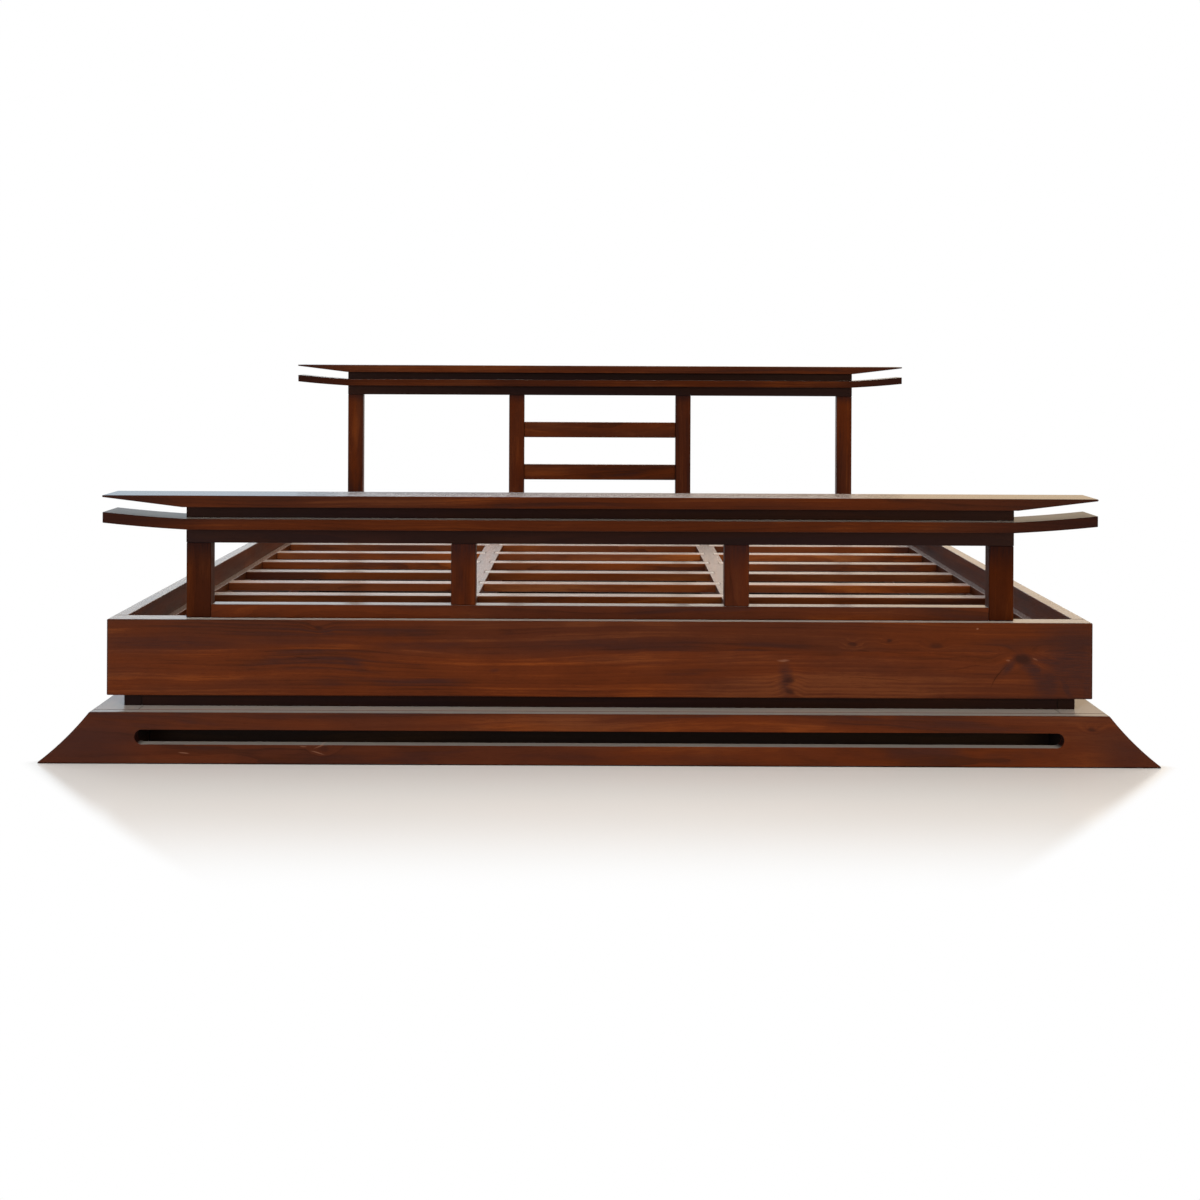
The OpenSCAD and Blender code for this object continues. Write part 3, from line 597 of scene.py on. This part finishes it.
def marked_colour(tree, colour, grain, rough_place, fine_place, hearts, finish, tone, look):
    """The colour with its smudges, knots, cracks and scuffs. A smudge on a post is painted shade below the
    rail.
    """
    if look.smudges:
        smear_and_shade = marked(tree, rough_place, look.smudges, SMUDGE_FADE)
        broken = calc(tree, "MULTIPLY", smear_and_shade, ease(tree, grain.fibre, *SMUDGE_FIBRES), clamp=True)
        colour = blend_colours(tree, broken, colour, rgba(finish.stain, tone * SMUDGE_TONE))
    if look.knots:
        colour = blend_colours(tree, hearts, colour, rgba(finish.stain, KNOT_TONE))
    if look.cracks:
        cracks = marked(tree, fine_place, look.cracks, CRACK_FADE)
        colour = blend_colours(tree, cracks, colour, rgba(finish.dark, CRACK_TONE))
    if look.scuffs:
        scuffs = marked(tree, fine_place, look.scuffs, SCUFF_FADE)
        colour = blend_colours(tree, scuffs, colour, SCUFF_COLOUR)
    return colour


def dimmed(tree, colour, grain, gain):
    """The colour with its darker pores, painted shade on its rounded edges, and the gain of its piece of
    wood.
    """
    arris = put(tree, "ShaderNodeAttribute", attribute_name="arris").outputs["Fac"]
    dim = calc(tree, "MULTIPLY_ADD", grain.pores, -PORE_DIM, 1.0)
    dim = calc(tree, "MULTIPLY", dim, calc(tree, "MULTIPLY_ADD", arris, -EDGE_PAINTED_SHADE, 1.0))
    dim = calc(tree, "MULTIPLY", dim, gain)
    grey = put(tree, "ShaderNodeCombineColor")
    for socket in grey.inputs:
        feed(tree, dim, socket)
    return blend_colours(tree, 1.0, colour, grey.outputs[0], "MULTIPLY")


def wood_roughness(tree, grain, from_middle, half_length, finish, polish, look):
    even = (finish.rough - FIBRE_ROUGH / 2) * polish
    rough = calc(tree, "MULTIPLY_ADD", grain.fibre, FIBRE_ROUGH * polish, even)
    rough = calc(tree, "MULTIPLY_ADD", grain.pores, PORE_ROUGH * polish, rough)
    if look.dull_ends:
        start = half_length - DARK_END
        near_end = ease(tree, axis_of(tree, from_middle, 0), start, start + DARK_END / 2,
                        0.0, look.dull_ends)
        rough = calc(tree, "ADD", near_end, rough)
    return calc(tree, "MULTIPLY_ADD", grain.mottle, MOTTLE_ROUGH * polish, rough, clamp=True)


def wood(name, finish, axes, box, seed, level=False, look=Look(), numbered=False):
    """Stained wood whose grain runs along the board. axes names the board's length, width and thickness.

    A level top is rubbed smoother than the sides and has a hazy bloom at a low angle."""
    low, high = box
    half_length, half_thickness = ((high - low)["XYZ".index(axis)] / 2 for axis in (axes[0], axes[2]))
    polish = finish.polish if level else 1.0
    rng = random.Random(seed)
    tone = look.tone * rng.uniform(*TONE_SPREAD)
    shift = (rng.uniform(-ALONG_SHIFT, ALONG_SHIFT), rng.uniform(-HEART_ACROSS, HEART_ACROSS),
             rng.uniform(*HEART_BELOW))
    ring_width = RING_WIDTH * rng.uniform(*RING_SPREAD)

    made = empty_material(name)
    tree = made.node_tree
    place = board_place(tree, axes, (low + high) / 2)
    from_middle = vector_calc(tree, "ABSOLUTE", place)
    grain_place = vector_calc(tree, "ADD", place, shift)
    gain = 1.0
    if look.glue_line is not None:
        grain_place, gain = above_glue_line(tree, place, grain_place, look.glue_line)
    if numbered:
        grain_place, gain = slat_by_slat(tree, grain_place)
    rough_place = fine_place = place
    if look.knots or look.smudges or look.cracks or look.scuffs:
        stray = centred_noise(tree, place, SMEAR)
        rough_place = nudged(tree, place, stray, SMUDGE_REACH)
        fine_place = nudged(tree, place, stray, FINE_REACH)
    lift, hearts = knots_at(tree, rough_place, look.knots)

    figure = put(tree, "ShaderNodeGroup", node_tree=FIGURE)
    feed(tree, grain_place, figure.inputs["Place"])
    feed(tree, ring_width, figure.inputs["Ring width"])
    feed(tree, lift, figure.inputs["Lift"])
    grain = Grain(*(figure.outputs[part] for part in Grain._fields))
    colour = grain_colour(tree, grain, grain_place, finish, tone)
    colour = soaked_colour(tree, colour, grain, from_middle, half_length, half_thickness, finish,
                           tone, look)
    colour = marked_colour(tree, colour, grain, rough_place, fine_place, hearts, finish, tone, look)
    colour = dimmed(tree, colour, grain, gain)

    rough = wood_roughness(tree, grain, from_middle, half_length, finish, polish, look)
    height = calc(tree, "MULTIPLY_ADD", grain.pores, -1.0, calc(tree, "MULTIPLY", grain.fibre, FIBRE_HEIGHT))
    height = calc(tree, "MULTIPLY_ADD", grain.rings, RING_HEIGHT, height)
    sockets = {"Base Color": colour, "Roughness": rough, "IOR": GLOSSY if level else look.index,
               "Specular Tint": rgba(finish.gloss, tone),
               "Normal": bumped(tree, height, WOOD_BUMP * polish, WOOD_BUMP_HEIGHT)}
    if level:
        bloom = finish.bloom if look.bloom is None else look.bloom
        sockets.update({"Sheen Weight": bloom, "Sheen Roughness": BLOOM_ROUGH, "Sheen Tint": BLOOM_TINT})
    shader = fed(tree, "ShaderNodeBsdfPrincipled", sockets)
    feed(tree, shader, put(tree, "ShaderNodeOutputMaterial").inputs["Surface"])
    return made


def zinc_plated_steel():
    made = bpy.data.materials.new("zinc plated steel")
    made.use_nodes = True
    tree = made.node_tree
    shader = tree.nodes["Principled BSDF"]
    place = put(tree, "ShaderNodeTexCoord").outputs["Object"]
    cloud = noise(tree, place, STEEL_CLOUD).outputs[0]
    scratch = noise(tree, place, STEEL_SCRATCH).outputs[0]
    tint = blend_colours(tree, ease(tree, cloud, *STEEL_TINT_RANGE), *STEEL_TINTS)
    rough = calc(tree, "MULTIPLY_ADD", scratch, STEEL_ROUGH_SPREAD, STEEL_ROUGH)
    feed(tree, tint, shader.inputs["Base Color"])
    feed(tree, rough, shader.inputs["Roughness"])
    shader.inputs["Metallic"].default_value = 1.0
    feed(tree, bumped(tree, scratch, STEEL_BUMP, STEEL_BUMP_HEIGHT), shader.inputs["Normal"])
    return made


def new_piece(name, mesh):
    piece = bpy.data.objects.new(name, mesh)
    scene.collection.objects.link(piece)
    return piece


# Boards: a merged copy of the frame's own node, with its long edges rounded
def is_long_edge(edge):
    if len(edge.link_faces) != 2 or edge.calc_length() < LEAST_EDGE:
        return False
    return edge.calc_face_angle_signed(0) > SHARP


def rounded_copy(node, radius):
    mesh = bpy.data.meshes.new(node + "_dressed")
    form = bmesh.new()
    form.from_mesh(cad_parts[node].data)
    bmesh.ops.remove_doubles(form, verts=form.verts, dist=WELD)
    bmesh.ops.dissolve_limit(form, angle_limit=FLAT, verts=form.verts[:], edges=form.edges[:])
    arris = form.faces.layers.float.new("arris")
    edges = [edge for edge in form.edges if is_long_edge(edge)]
    rounded = bmesh.ops.bevel(form, geom=edges, offset=radius, offset_type="OFFSET", segments=EDGE_STEPS,
                              profile=0.5, affect="EDGES", clamp_overlap=False)
    for face in rounded["faces"]:
        face[arris] = 1.0
    for face in form.faces:
        face.smooth = True
    for edge in form.edges:
        edge.smooth = len(edge.link_faces) != 2 or edge.calc_face_angle(0) < SHARP
    form.to_mesh(mesh)
    form.free()
    if "custom_normal" in mesh.attributes:
        mesh.attributes.remove(mesh.attributes["custom_normal"])
    piece = new_piece(node + "_dressed", mesh)
    normals = piece.modifiers.new("Even normals", "WEIGHTED_NORMAL")
    normals.keep_sharp = True
    return piece


def settle(piece, node, slot, material, top_material=None):
    """Puts a piece in its node's place. Its level tops have a material of their own where one is given."""
    piece.data.materials.clear()
    piece.data.materials.append(material)
    if top_material:
        piece.data.materials.append(top_material)
        for face in piece.data.polygons:
            face.material_index = int(face.normal.z > LEVEL)
    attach(piece, "root")
    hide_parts(node)


def board(node, axes, finish, radius=SOFT_EDGE, painted_shade_side_tone=None, **features):
    """Dresses a node in wood. Its sides may have another tone than its tops, as painted shade."""
    look = Look(**features)
    side_look = look._replace(tone=painted_shade_side_tone) if painted_shade_side_tone else look
    woods = [wood(node + name, finish, axes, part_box(node), "board " + node, level, chosen)
             for name, level, chosen in ((" wood", False, side_look), (" top wood", True, look))]
    settle(rounded_copy(node, radius), node, finish.slot, *woods)


def post(node, tone, shade):
    """A post with painted shade below the rail, down to the given distance."""
    low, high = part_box(node)
    post_painted_shade = Mark((high.z - low.z) / 2, 0, shade, 1, POST_SHADE_STRENGTH)
    board(node, "ZXY", STAINED, tone=tone, index=DULL, smudges=(post_painted_shade,))


# Geometry Nodes: slats, screws and bolts
def shape_tree(name, sizes):
    tree = bpy.data.node_groups.new(name, "GeometryNodeTree")
    tree.is_modifier = True
    tree.interface.new_socket(name="Geometry", in_out="INPUT", socket_type="NodeSocketGeometry")
    for label, value in sizes.items():
        kind = "NodeSocketInt" if isinstance(value, int) else "NodeSocketFloat"
        tree.interface.new_socket(name=label, in_out="INPUT", socket_type=kind).default_value = value
    tree.interface.new_socket(name="Geometry", in_out="OUTPUT", socket_type="NodeSocketGeometry")
    return tree, put(tree, "NodeGroupInput").outputs, put(tree, "NodeGroupOutput")


def moved(tree, shape, offset):
    return fed(tree, "GeometryNodeTransform", {"Geometry": shape, "Translation": offset})


def combined(tree, operation, first, *others):
    made = put(tree, "GeometryNodeMeshBoolean", operation=operation, solver="EXACT")
    feed(tree, first, made.inputs["Mesh 1" if operation == "DIFFERENCE" else "Mesh 2"])
    for other in others:
        feed(tree, other, made.inputs["Mesh 2"])
    return made.outputs[0]


def cone(tree, facets, top, bottom, height):
    sizes = {"Vertices": facets, "Radius Top": top, "Radius Bottom": bottom, "Depth": height}
    return fed(tree, "GeometryNodeMeshCone", sizes)


def cylinder(tree, facets, radius, height):
    return fed(tree, "GeometryNodeMeshCylinder", {"Vertices": facets, "Radius": radius, "Depth": height})


def finish_tree(tree, leave, instances, material):
    real = fed(tree, "GeometryNodeRealizeInstances", {0: instances})
    dressed = fed(tree, "GeometryNodeSetMaterial", {"Geometry": real, "Material": material})
    feed(tree, dressed, leave.inputs[0])


def grown(name, tree, base, sizes):
    """Runs a tree on a base mesh and returns its result as a plain mesh object at the origin."""
    seed_object = new_piece(name + "_seed", base)
    modifier = seed_object.modifiers.new("Shape", "NODES")
    modifier.node_group = tree
    for item in tree.interface.items_tree:
        if item.in_out == "INPUT" and item.name in sizes:
            modifier[item.identifier] = sizes[item.name]
    seen = seed_object.evaluated_get(bpy.context.evaluated_depsgraph_get())
    mesh = bpy.data.meshes.new_from_object(seen)
    bpy.data.objects.remove(seed_object)
    mesh.name = name
    return new_piece(name, mesh)


def solids_of(node):
    """Lowest and highest corner of each separate solid in a node."""
    form = bmesh.new()
    form.from_mesh(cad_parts[node].data)
    bmesh.ops.remove_doubles(form, verts=form.verts, dist=WELD)
    left = set(form.verts)
    boxes = []
    while left:
        front = [left.pop()]
        low = Vector(front[0].co)
        high = Vector(front[0].co)
        while front:
            vert = front.pop()
            low = Vector(map(min, low, vert.co))
            high = Vector(map(max, high, vert.co))
            for edge in vert.link_edges:
                other = edge.other_vert(vert)
                if other in left:
                    left.remove(other)
                    front.append(other)
        boxes.append((low, high))
    form.free()
    return sorted(boxes, key=lambda box: tuple(box[0]))


# Slats: an even row with rounded edges, each countersunk for its screws
def slat_tree(material, sizes):
    tree, size, leave = shape_tree("slat row", sizes)
    half = calc(tree, "MULTIPLY", size["Slat length"], 0.5)
    ends = {"Start": xyz(tree, calc(tree, "MULTIPLY", half, -1.0)), "End": xyz(tree, half)}
    path = fed(tree, "GeometryNodeCurvePrimitiveLine", ends, mode="POINTS")
    outline = fed(tree, "GeometryNodeCurvePrimitiveQuadrilateral",
                  {"Width": size["Slat width"], "Height": size["Slat thickness"]}, mode="RECTANGLE")
    soft = fed(tree, "GeometryNodeFilletCurve",
               {"Curve": outline, "Radius": size["Edge radius"], "Count": EDGE_STEPS}, mode="POLY")
    slat = fed(tree, "GeometryNodeCurveToMesh", {"Curve": path, "Profile Curve": soft, "Fill Caps": True})

    # Countersinks, one near each end of the slat
    sink = cone(tree, HEAD_FACETS, size["Head radius"], size["Shank radius"], size["Head height"])
    top = calc(tree, "MULTIPLY", size["Slat thickness"], 0.5)
    height = calc(tree, "ADD", calc(tree, "SUBTRACT", top, size["Head height"]), CUT)
    sinks = [moved(tree, sink, xyz(tree, size[screw], 0.0, height))
             for screw in ("Left screw", "Right screw")]
    countersunk = combined(tree, "DIFFERENCE", slat, *sinks)

    offset = xyz(tree, 0.0, size["Pitch"])
    row = fed(tree, "GeometryNodeMeshLine", {"Count": size["Count"], "Offset": offset}, mode="OFFSET")
    slats = fed(tree, "GeometryNodeInstanceOnPoints", {"Points": row, "Instance": countersunk})
    label = {"Geometry": slats, "Name": "number", "Value": put(tree, "GeometryNodeInputIndex").outputs[0]}
    numbered = fed(tree, "GeometryNodeStoreNamedAttribute", label, data_type="FLOAT", domain="INSTANCE")
    finish_tree(tree, leave, numbered, material)
    return tree


def slat_row(node):
    slats = solids_of(node)
    low, high = slats[0]
    size = high - low
    middle_x = (low.x + high.x) / 2
    screws = [(a + b) / 2 for a, b in solids_of("slat_screws")]
    reach = [place.x - middle_x for place in screws
             if low.x < place.x < high.x and low.y < place.y < high.y]
    sizes = {"Slat length": size.x, "Slat width": size.y, "Slat thickness": size.z,
             "Pitch": slats[1][0].y - low.y, "Count": len(slats), "Edge radius": SOFT_EDGE,
             "Left screw": min(reach), "Right screw": max(reach), "Head radius": SCREW_HEAD_D / 2,
             "Shank radius": SCREW_SHANK_D / 2, "Head height": SCREW_HEAD_H}
    woods = [wood(node + name, SLAT, "XYZ", (low, high), "slats " + node, level, numbered=True)
             for name, level in ((" wood", False), (" top wood", True))]
    piece = grown(node + "_dressed", slat_tree(woods[0], sizes), bpy.data.meshes.new(node + "_base"), sizes)
    piece.data.transform(Matrix.Translation((low + high) / 2))
    for face in piece.data.polygons:
        face.use_smooth = False
    settle(piece, node, SLAT.slot, *woods)


# Fastenings: a tree for each length of each kind
def fastener_points(name, heads):
    """A mesh of bare points at the fastenings' heads, each with the way its head faces."""
    mesh = bpy.data.meshes.new(name)
    mesh.from_pydata([tuple(place) for place, aim in heads], [], [])
    aims = mesh.attributes.new("aim", "FLOAT_VECTOR", "POINT")
    aims.data.foreach_set("vector", [c for place, aim in heads for c in aim])
    return mesh


def fastened(tree, leave, size, fastener, material, seed):
    """One fastener at each point, turned the way its head faces and spun by chance."""
    aim = fed(tree, "GeometryNodeInputNamedAttribute", {"Name": "aim"}, data_type="FLOAT_VECTOR")
    turned = fed(tree, "FunctionNodeAlignRotationToVector", {"Vector": aim}, axis="Z")
    chance = put(tree, "FunctionNodeRandomValue", data_type="FLOAT")
    chance.inputs[3].default_value = math.pi
    chance.inputs["Seed"].default_value = seed
    spin = fed(tree, "FunctionNodeAxisAngleToRotation", {"Angle": chance.outputs[1]})
    both = fed(tree, "FunctionNodeRotateRotation", {0: turned, 1: spin}, rotation_space="LOCAL")
    placed = fed(tree, "GeometryNodeInstanceOnPoints",
                 {"Points": size["Geometry"], "Instance": fastener, "Rotation": both})
    finish_tree(tree, leave, placed, material)


def shank(tree, radius, length):
    drop = calc(tree, "MULTIPLY", length, -0.5)
    return moved(tree, cylinder(tree, SHANK_FACETS, radius, length), xyz(tree, z=drop))


def screw_tree(length):
    """A countersunk wood screw with a cross recess, the top of its head at the point."""
    sizes = {"Length": length, "Head radius": SCREW_HEAD_D / 2, "Shank radius": SCREW_SHANK_D / 2,
             "Head height": SCREW_HEAD_H, "Recess width": RECESS_W, "Recess slit": RECESS_T,
             "Recess depth": RECESS_DEPTH}
    tree, size, leave = shape_tree("wood screws", sizes)
    head = cone(tree, HEAD_FACETS, size["Head radius"], size["Shank radius"], size["Head height"])
    sunk = xyz(tree, z=calc(tree, "MULTIPLY", size["Head height"], -1.0))
    body = combined(tree, "UNION", moved(tree, head, sunk), shank(tree, size["Shank radius"], size["Length"]))
    width, slit, depth = (size["Recess " + name] for name in ("width", "slit", "depth"))
    drop = xyz(tree, z=calc(tree, "MULTIPLY", depth, -RECESS_SUNK))
    cuts = [moved(tree, fed(tree, "GeometryNodeMeshCube", {"Size": xyz(tree, *block, depth)}), drop)
            for block in ((width, slit), (slit, width))]
    return tree, size, leave, combined(tree, "DIFFERENCE", body, *cuts), sizes


def bolt_tree(length):
    """A hexagon-headed bolt with chamfered corners, the seat of its head at the point."""
    sizes = {"Length": length, "Shank radius": BOLT_SHANK_D / 2, "Head radius": BOLT_HEAD_AF / math.sqrt(3),
             "Head height": BOLT_HEAD_H, "Chamfer radius": CHAMFER_RADIUS}
    tree, size, leave = shape_tree("hexagon bolts", sizes)
    raised = xyz(tree, z=calc(tree, "MULTIPLY", size["Head height"], 0.5))
    hexagon = moved(tree, cylinder(tree, 6, size["Head radius"], size["Head height"]), raised)
    chamfer = cone(tree, CHAMFER_FACETS, calc(tree, "MULTIPLY", size["Chamfer radius"], CHAMFER_TOP),
                   calc(tree, "MULTIPLY", size["Chamfer radius"], CHAMFER_FOOT), size["Head height"])
    head = combined(tree, "INTERSECT", hexagon, chamfer)
    body = combined(tree, "UNION", head, shank(tree, size["Shank radius"], size["Length"]))
    return tree, size, leave, body, sizes


def head_up(low, high):
    return Vector(((low.x + high.x) / 2, (low.y + high.y) / 2, high.z)), (0, 0, 1)


def head_down(low, high):
    return Vector(((low.x + high.x) / 2, (low.y + high.y) / 2, low.z)), (0, 0, -1)


def head_inward(low, high):
    """The head faces the middle of the bed along the fastener's own length."""
    middle = (low + high) / 2
    axis = max(range(3), key=lambda k: (high - low)[k])
    inward = -1 if middle[axis] > 0 else 1
    place = Vector(middle)
    place[axis] = (low if inward < 0 else high)[axis]
    aim = [0, 0, 0]
    aim[axis] = inward
    return place, tuple(aim)


def bolt_seat(low, high):
    place, aim = head_inward(low, high)
    return place - Vector(aim) * BOLT_HEAD_H, aim


def fasteners(node, make_tree, head_of, seed, head_height=0):
    """All fasteners of a node in one piece, with a tree for each length among them."""
    solids = [(low, high, round(max(high - low), LENGTH_DIGITS)) for low, high in solids_of(node)]
    whole = bmesh.new()
    for length in sorted({long for low, high, long in solids}):
        heads = [head_of(low, high) for low, high, long in solids if long == length]
        tree, size, leave, fastener, sizes = make_tree(length - head_height)
        fastened(tree, leave, size, fastener, STEEL, seed)
        part = grown(node + "_part", tree, fastener_points(node + "_points", heads), sizes)
        whole.from_mesh(part.data)
        bpy.data.objects.remove(part)
    mesh = bpy.data.meshes.new(node + "_dressed")
    whole.to_mesh(mesh)
    whole.free()
    for face in mesh.polygons:
        face.use_smooth = False
    settle(new_piece(node + "_dressed", mesh), node, "steel", STEEL)


# Camera
def add_camera():
    lens = bpy.data.cameras.new("camera")
    lens.sensor_width = SENSOR_MM
    lens.lens = SENSOR_MM * FOCAL_PX / FRAME_PX
    lens.shift_x = (FRAME_PX / 2 - AXIS_PX[0]) / FRAME_PX
    lens.shift_y = (AXIS_PX[1] - FRAME_PX / 2) / FRAME_PX
    camera = bpy.data.objects.new("camera", lens)
    camera.location = CAMERA_PLACE
    camera.rotation_euler = (math.radians(90), -CAMERA_ROLL, 0)
    scene.collection.objects.link(camera)
    scene.camera = camera


# Light
def add_lamp(lamp):
    light = bpy.data.lights.new(lamp.name, "AREA")
    light.shape = "RECTANGLE"
    light.size, light.size_y = lamp.size
    light.energy = lamp.watts
    light.color = lamp.colour
    made = bpy.data.objects.new(lamp.name, light)
    made.location = lamp.place
    made.rotation_euler = (Vector(lamp.aim) - Vector(lamp.place)).to_track_quat("-Z", "Y").to_euler()
    scene.collection.objects.link(made)


def add_world():
    """White to the eye; shiny surfaces see it cool on the left and warm on the right."""
    world = bpy.data.worlds.new("studio")
    scene.world = world
    world.use_nodes = True
    tree = world.node_tree
    tree.nodes.clear()
    way = put(tree, "ShaderNodeTexCoord").outputs["Generated"]
    to_right = ease(tree, axis_of(tree, way, 0), -SIDE_TURN, SIDE_TURN)
    lit = blend_colours(tree, to_right, COOL_ROOM, WARM_ROOM)
    mirrored = blend_colours(tree, to_right, COOL_MIRRORED, WARM_ROOM)
    to_eye = put(tree, "ShaderNodeLightPath").outputs["Is Camera Ray"]
    room = fed(tree, "ShaderNodeBackground", {"Color": lit, "Strength": ROOM_LIGHT})
    backdrop = fed(tree, "ShaderNodeBackground", {"Color": blend_colours(tree, to_eye, mirrored, WHITE)})
    mixed = mixed_shaders(tree, seen_directly(tree), room, backdrop)
    feed(tree, mixed, put(tree, "ShaderNodeOutputWorld").inputs["Surface"])


# Floor
def floor_material():
    made = empty_material("pale floor")
    tree = made.node_tree
    place = put(tree, "ShaderNodeTexCoord").outputs["Object"]
    outward = vector_calc(tree, "ABSOLUTE", place)
    beyond_end = calc(tree, "SUBTRACT", axis_of(tree, outward, 1), cad_high.y)
    edge = ease(tree, beyond_end, *WIDENING, BODY_HALF, cad_high.x - TIP_BARE)
    beyond_end = calc(tree, "MAXIMUM", beyond_end, 0.0)
    edge = calc(tree, "MULTIPLY_ADD", beyond_end, -SHADOW_NARROWS, edge)
    beyond_side = calc(tree, "MAXIMUM", calc(tree, "SUBTRACT", axis_of(tree, outward, 0), edge), 0.0)
    side_squared = calc(tree, "POWER", calc(tree, "MULTIPLY", beyond_side, SIDE_FADE), 2.0)
    away = calc(tree, "SQRT", calc(tree, "ADD", side_squared, calc(tree, "POWER", beyond_end, 2.0)))
    fade = ease(tree, away, FADE_START, FADE_END, FADE_AT_BED, 1.0)
    cloud = noise(tree, place, FLOOR_CLOUD).outputs[0]
    tint = blend_colours(tree, cloud, *FLOOR_TINTS)
    rough = calc(tree, "MULTIPLY_ADD", cloud, FLOOR_ROUGH_SPREAD, FLOOR_ROUGH)
    shader = fed(tree, "ShaderNodeBsdfPrincipled", {"Base Color": tint, "Roughness": rough})
    white = put(tree, "ShaderNodeEmission").outputs[0]
    mixed = mixed_shaders(tree, calc(tree, "MULTIPLY", fade, seen_directly(tree)), shader, white)
    feed(tree, mixed, put(tree, "ShaderNodeOutputMaterial").inputs["Surface"])
    return made


def add_floor():
    mesh = bpy.data.meshes.new("floor")
    corners = [(x * FLOOR_HALF, y * FLOOR_HALF, 0) for x, y in ((-1, -1), (1, -1), (1, 1), (-1, 1))]
    mesh.from_pydata(corners, [], [(0, 1, 2, 3)])
    mesh.materials.append(floor_material())
    floor = new_piece("floor", mesh)


# Surroundings
scene.view_settings.view_transform = "Standard"
add_camera()
add_world()
for lamp in LAMPS:
    add_lamp(lamp)
add_floor()

# The wood's figure and the steel, which many pieces share
FIGURE = wood_figure()
STEEL = zinc_plated_steel()

# Plinth
board("base_front_board", "XZY", STAINED, knots=FRONT_BASE_KNOTS, smudges=FRONT_BASE_SMUDGES,
      scuffs=FRONT_BASE_SCUFFS, tone=FRONT_BASE_TONE, bloom=DECK_BLOOM, dark_ends=BASE_ENDS,
      dark_edges=BASE_EDGES)
board("base_rear_board", "XZY", STAINED, bloom=DECK_BLOOM, dark_ends=BASE_ENDS, dark_edges=BASE_EDGES)
for end in ("front", "rear"):
    board(f"base_{end}_bearer", "XZY", INNER)
    board(f"deck_{end}_strip", "XYZ", STAINED, FINE_EDGE, bloom=DECK_BLOOM)
for side in ("left", "right"):
    board(f"base_{side}_board", "YZX", STAINED)
    board(f"base_{side}_bearer", "YZX", INNER)
    board(f"deck_{side}_strip", "YXZ", STAINED, FINE_EDGE, bloom=DECK_BLOOM)
board("deck_cleats", "XYZ", INNER, FINE_EDGE)
board("plinth_corner_blocks", "ZXY", INNER, FINE_EDGE)

# Riser and rail frame
board("rail_front", "XZY", STAINED, knots=FRONT_RAIL_KNOTS, smudges=FRONT_RAIL_SMUDGES,
      cracks=FRONT_RAIL_CRACKS, scuffs=FRONT_RAIL_SCUFFS, glue_line=FRONT_GLUE_LINE, bloom=RAIL_BLOOM)
board("rail_rear", "XZY", STAINED, knots=REAR_RAIL_KNOTS, glue_line=REAR_GLUE_LINE, bloom=RAIL_BLOOM)
for end in ("front", "rear"):
    board(f"riser_{end}", "XYZ", DARK, FINE_EDGE)
for side in ("left", "right"):
    board(f"riser_{side}", "YXZ", DARK, FINE_EDGE)
    board(f"rail_{side}", "YZX", STAINED, knots=SIDE_RAIL_KNOTS, glue_line=SIDE_GLUE_LINE,
          bloom=RAIL_BLOOM, index=DULL)
board("rail_corner_blocks", "ZXY", INNER, FINE_EDGE)

# Slatted deck
for side in ("left", "right"):
    board(f"ledger_{side}", "YZX", SLAT, FINE_EDGE, tone=LEDGER_TONE, bloom=LEDGER_BLOOM, index=DULL)
    board(f"beam_{side}", "YZX", SLAT, FINE_EDGE, tone=BEAM_TONE, painted_shade_side_tone=BEAM_SIDE_SHADE_TONE,
          bloom=BEAM_BLOOM, index=DULL)
board("beam_legs", "ZXY", INNER)
for bay in ("left", "middle", "right"):
    slat_row(f"slats_{bay}")

# Footboard and headboard
for end in ("foot", "head"):
    for side in ("left", "right"):
        post(f"{end}_outer_post_{side}", OUTER_POST_TONE[end], POST_SHADE[end])
        post(f"{end}_inner_post_{side}", INNER_POST_TONE, POST_SHADE[end])
    board(f"{end}_bottom_rail", "XZY", STAINED)
    board(f"{end}_upper_rail", "XZY", DARK, FINE_EDGE)
    board(f"{end}_lower_cap", "XYZ", STAINED, FINE_EDGE, tone=LOWER_CAP_TONE, bloom=LOWER_CAP_BLOOM,
          dark_ends=CAP_ENDS, dull_ends=CAP_DULL_ENDS)
    board(f"{end}_cap_spacer", "XZY", DARK, FINE_EDGE)
    board(f"{end}_upper_cap", "XYZ", STAINED, FINE_EDGE, tone=UPPER_CAP_TONE, bloom=UPPER_CAP_BLOOM,
          dark_ends=CAP_ENDS)
for rung in ("lower", "upper"):
    board(f"head_rung_{rung}", "XZY", STAINED, tone=RUNG_TONE)

# Fastenings
fasteners("slat_screws", screw_tree, head_up, seed=1)
fasteners("cap_screws", screw_tree, head_down, seed=2)
fasteners("ledger_screws", screw_tree, head_inward, seed=3)
fasteners("corner_bolts", bolt_tree, bolt_seat, seed=4, head_height=BOLT_HEAD_H)
for node in ("riser_dowels", "leg_dowels", "board_dowels"):
    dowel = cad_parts[node]
    dowel.data.materials.clear()
    dowel.data.materials.append(wood(node + " wood", DOWEL, "ZXY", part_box(node), node))
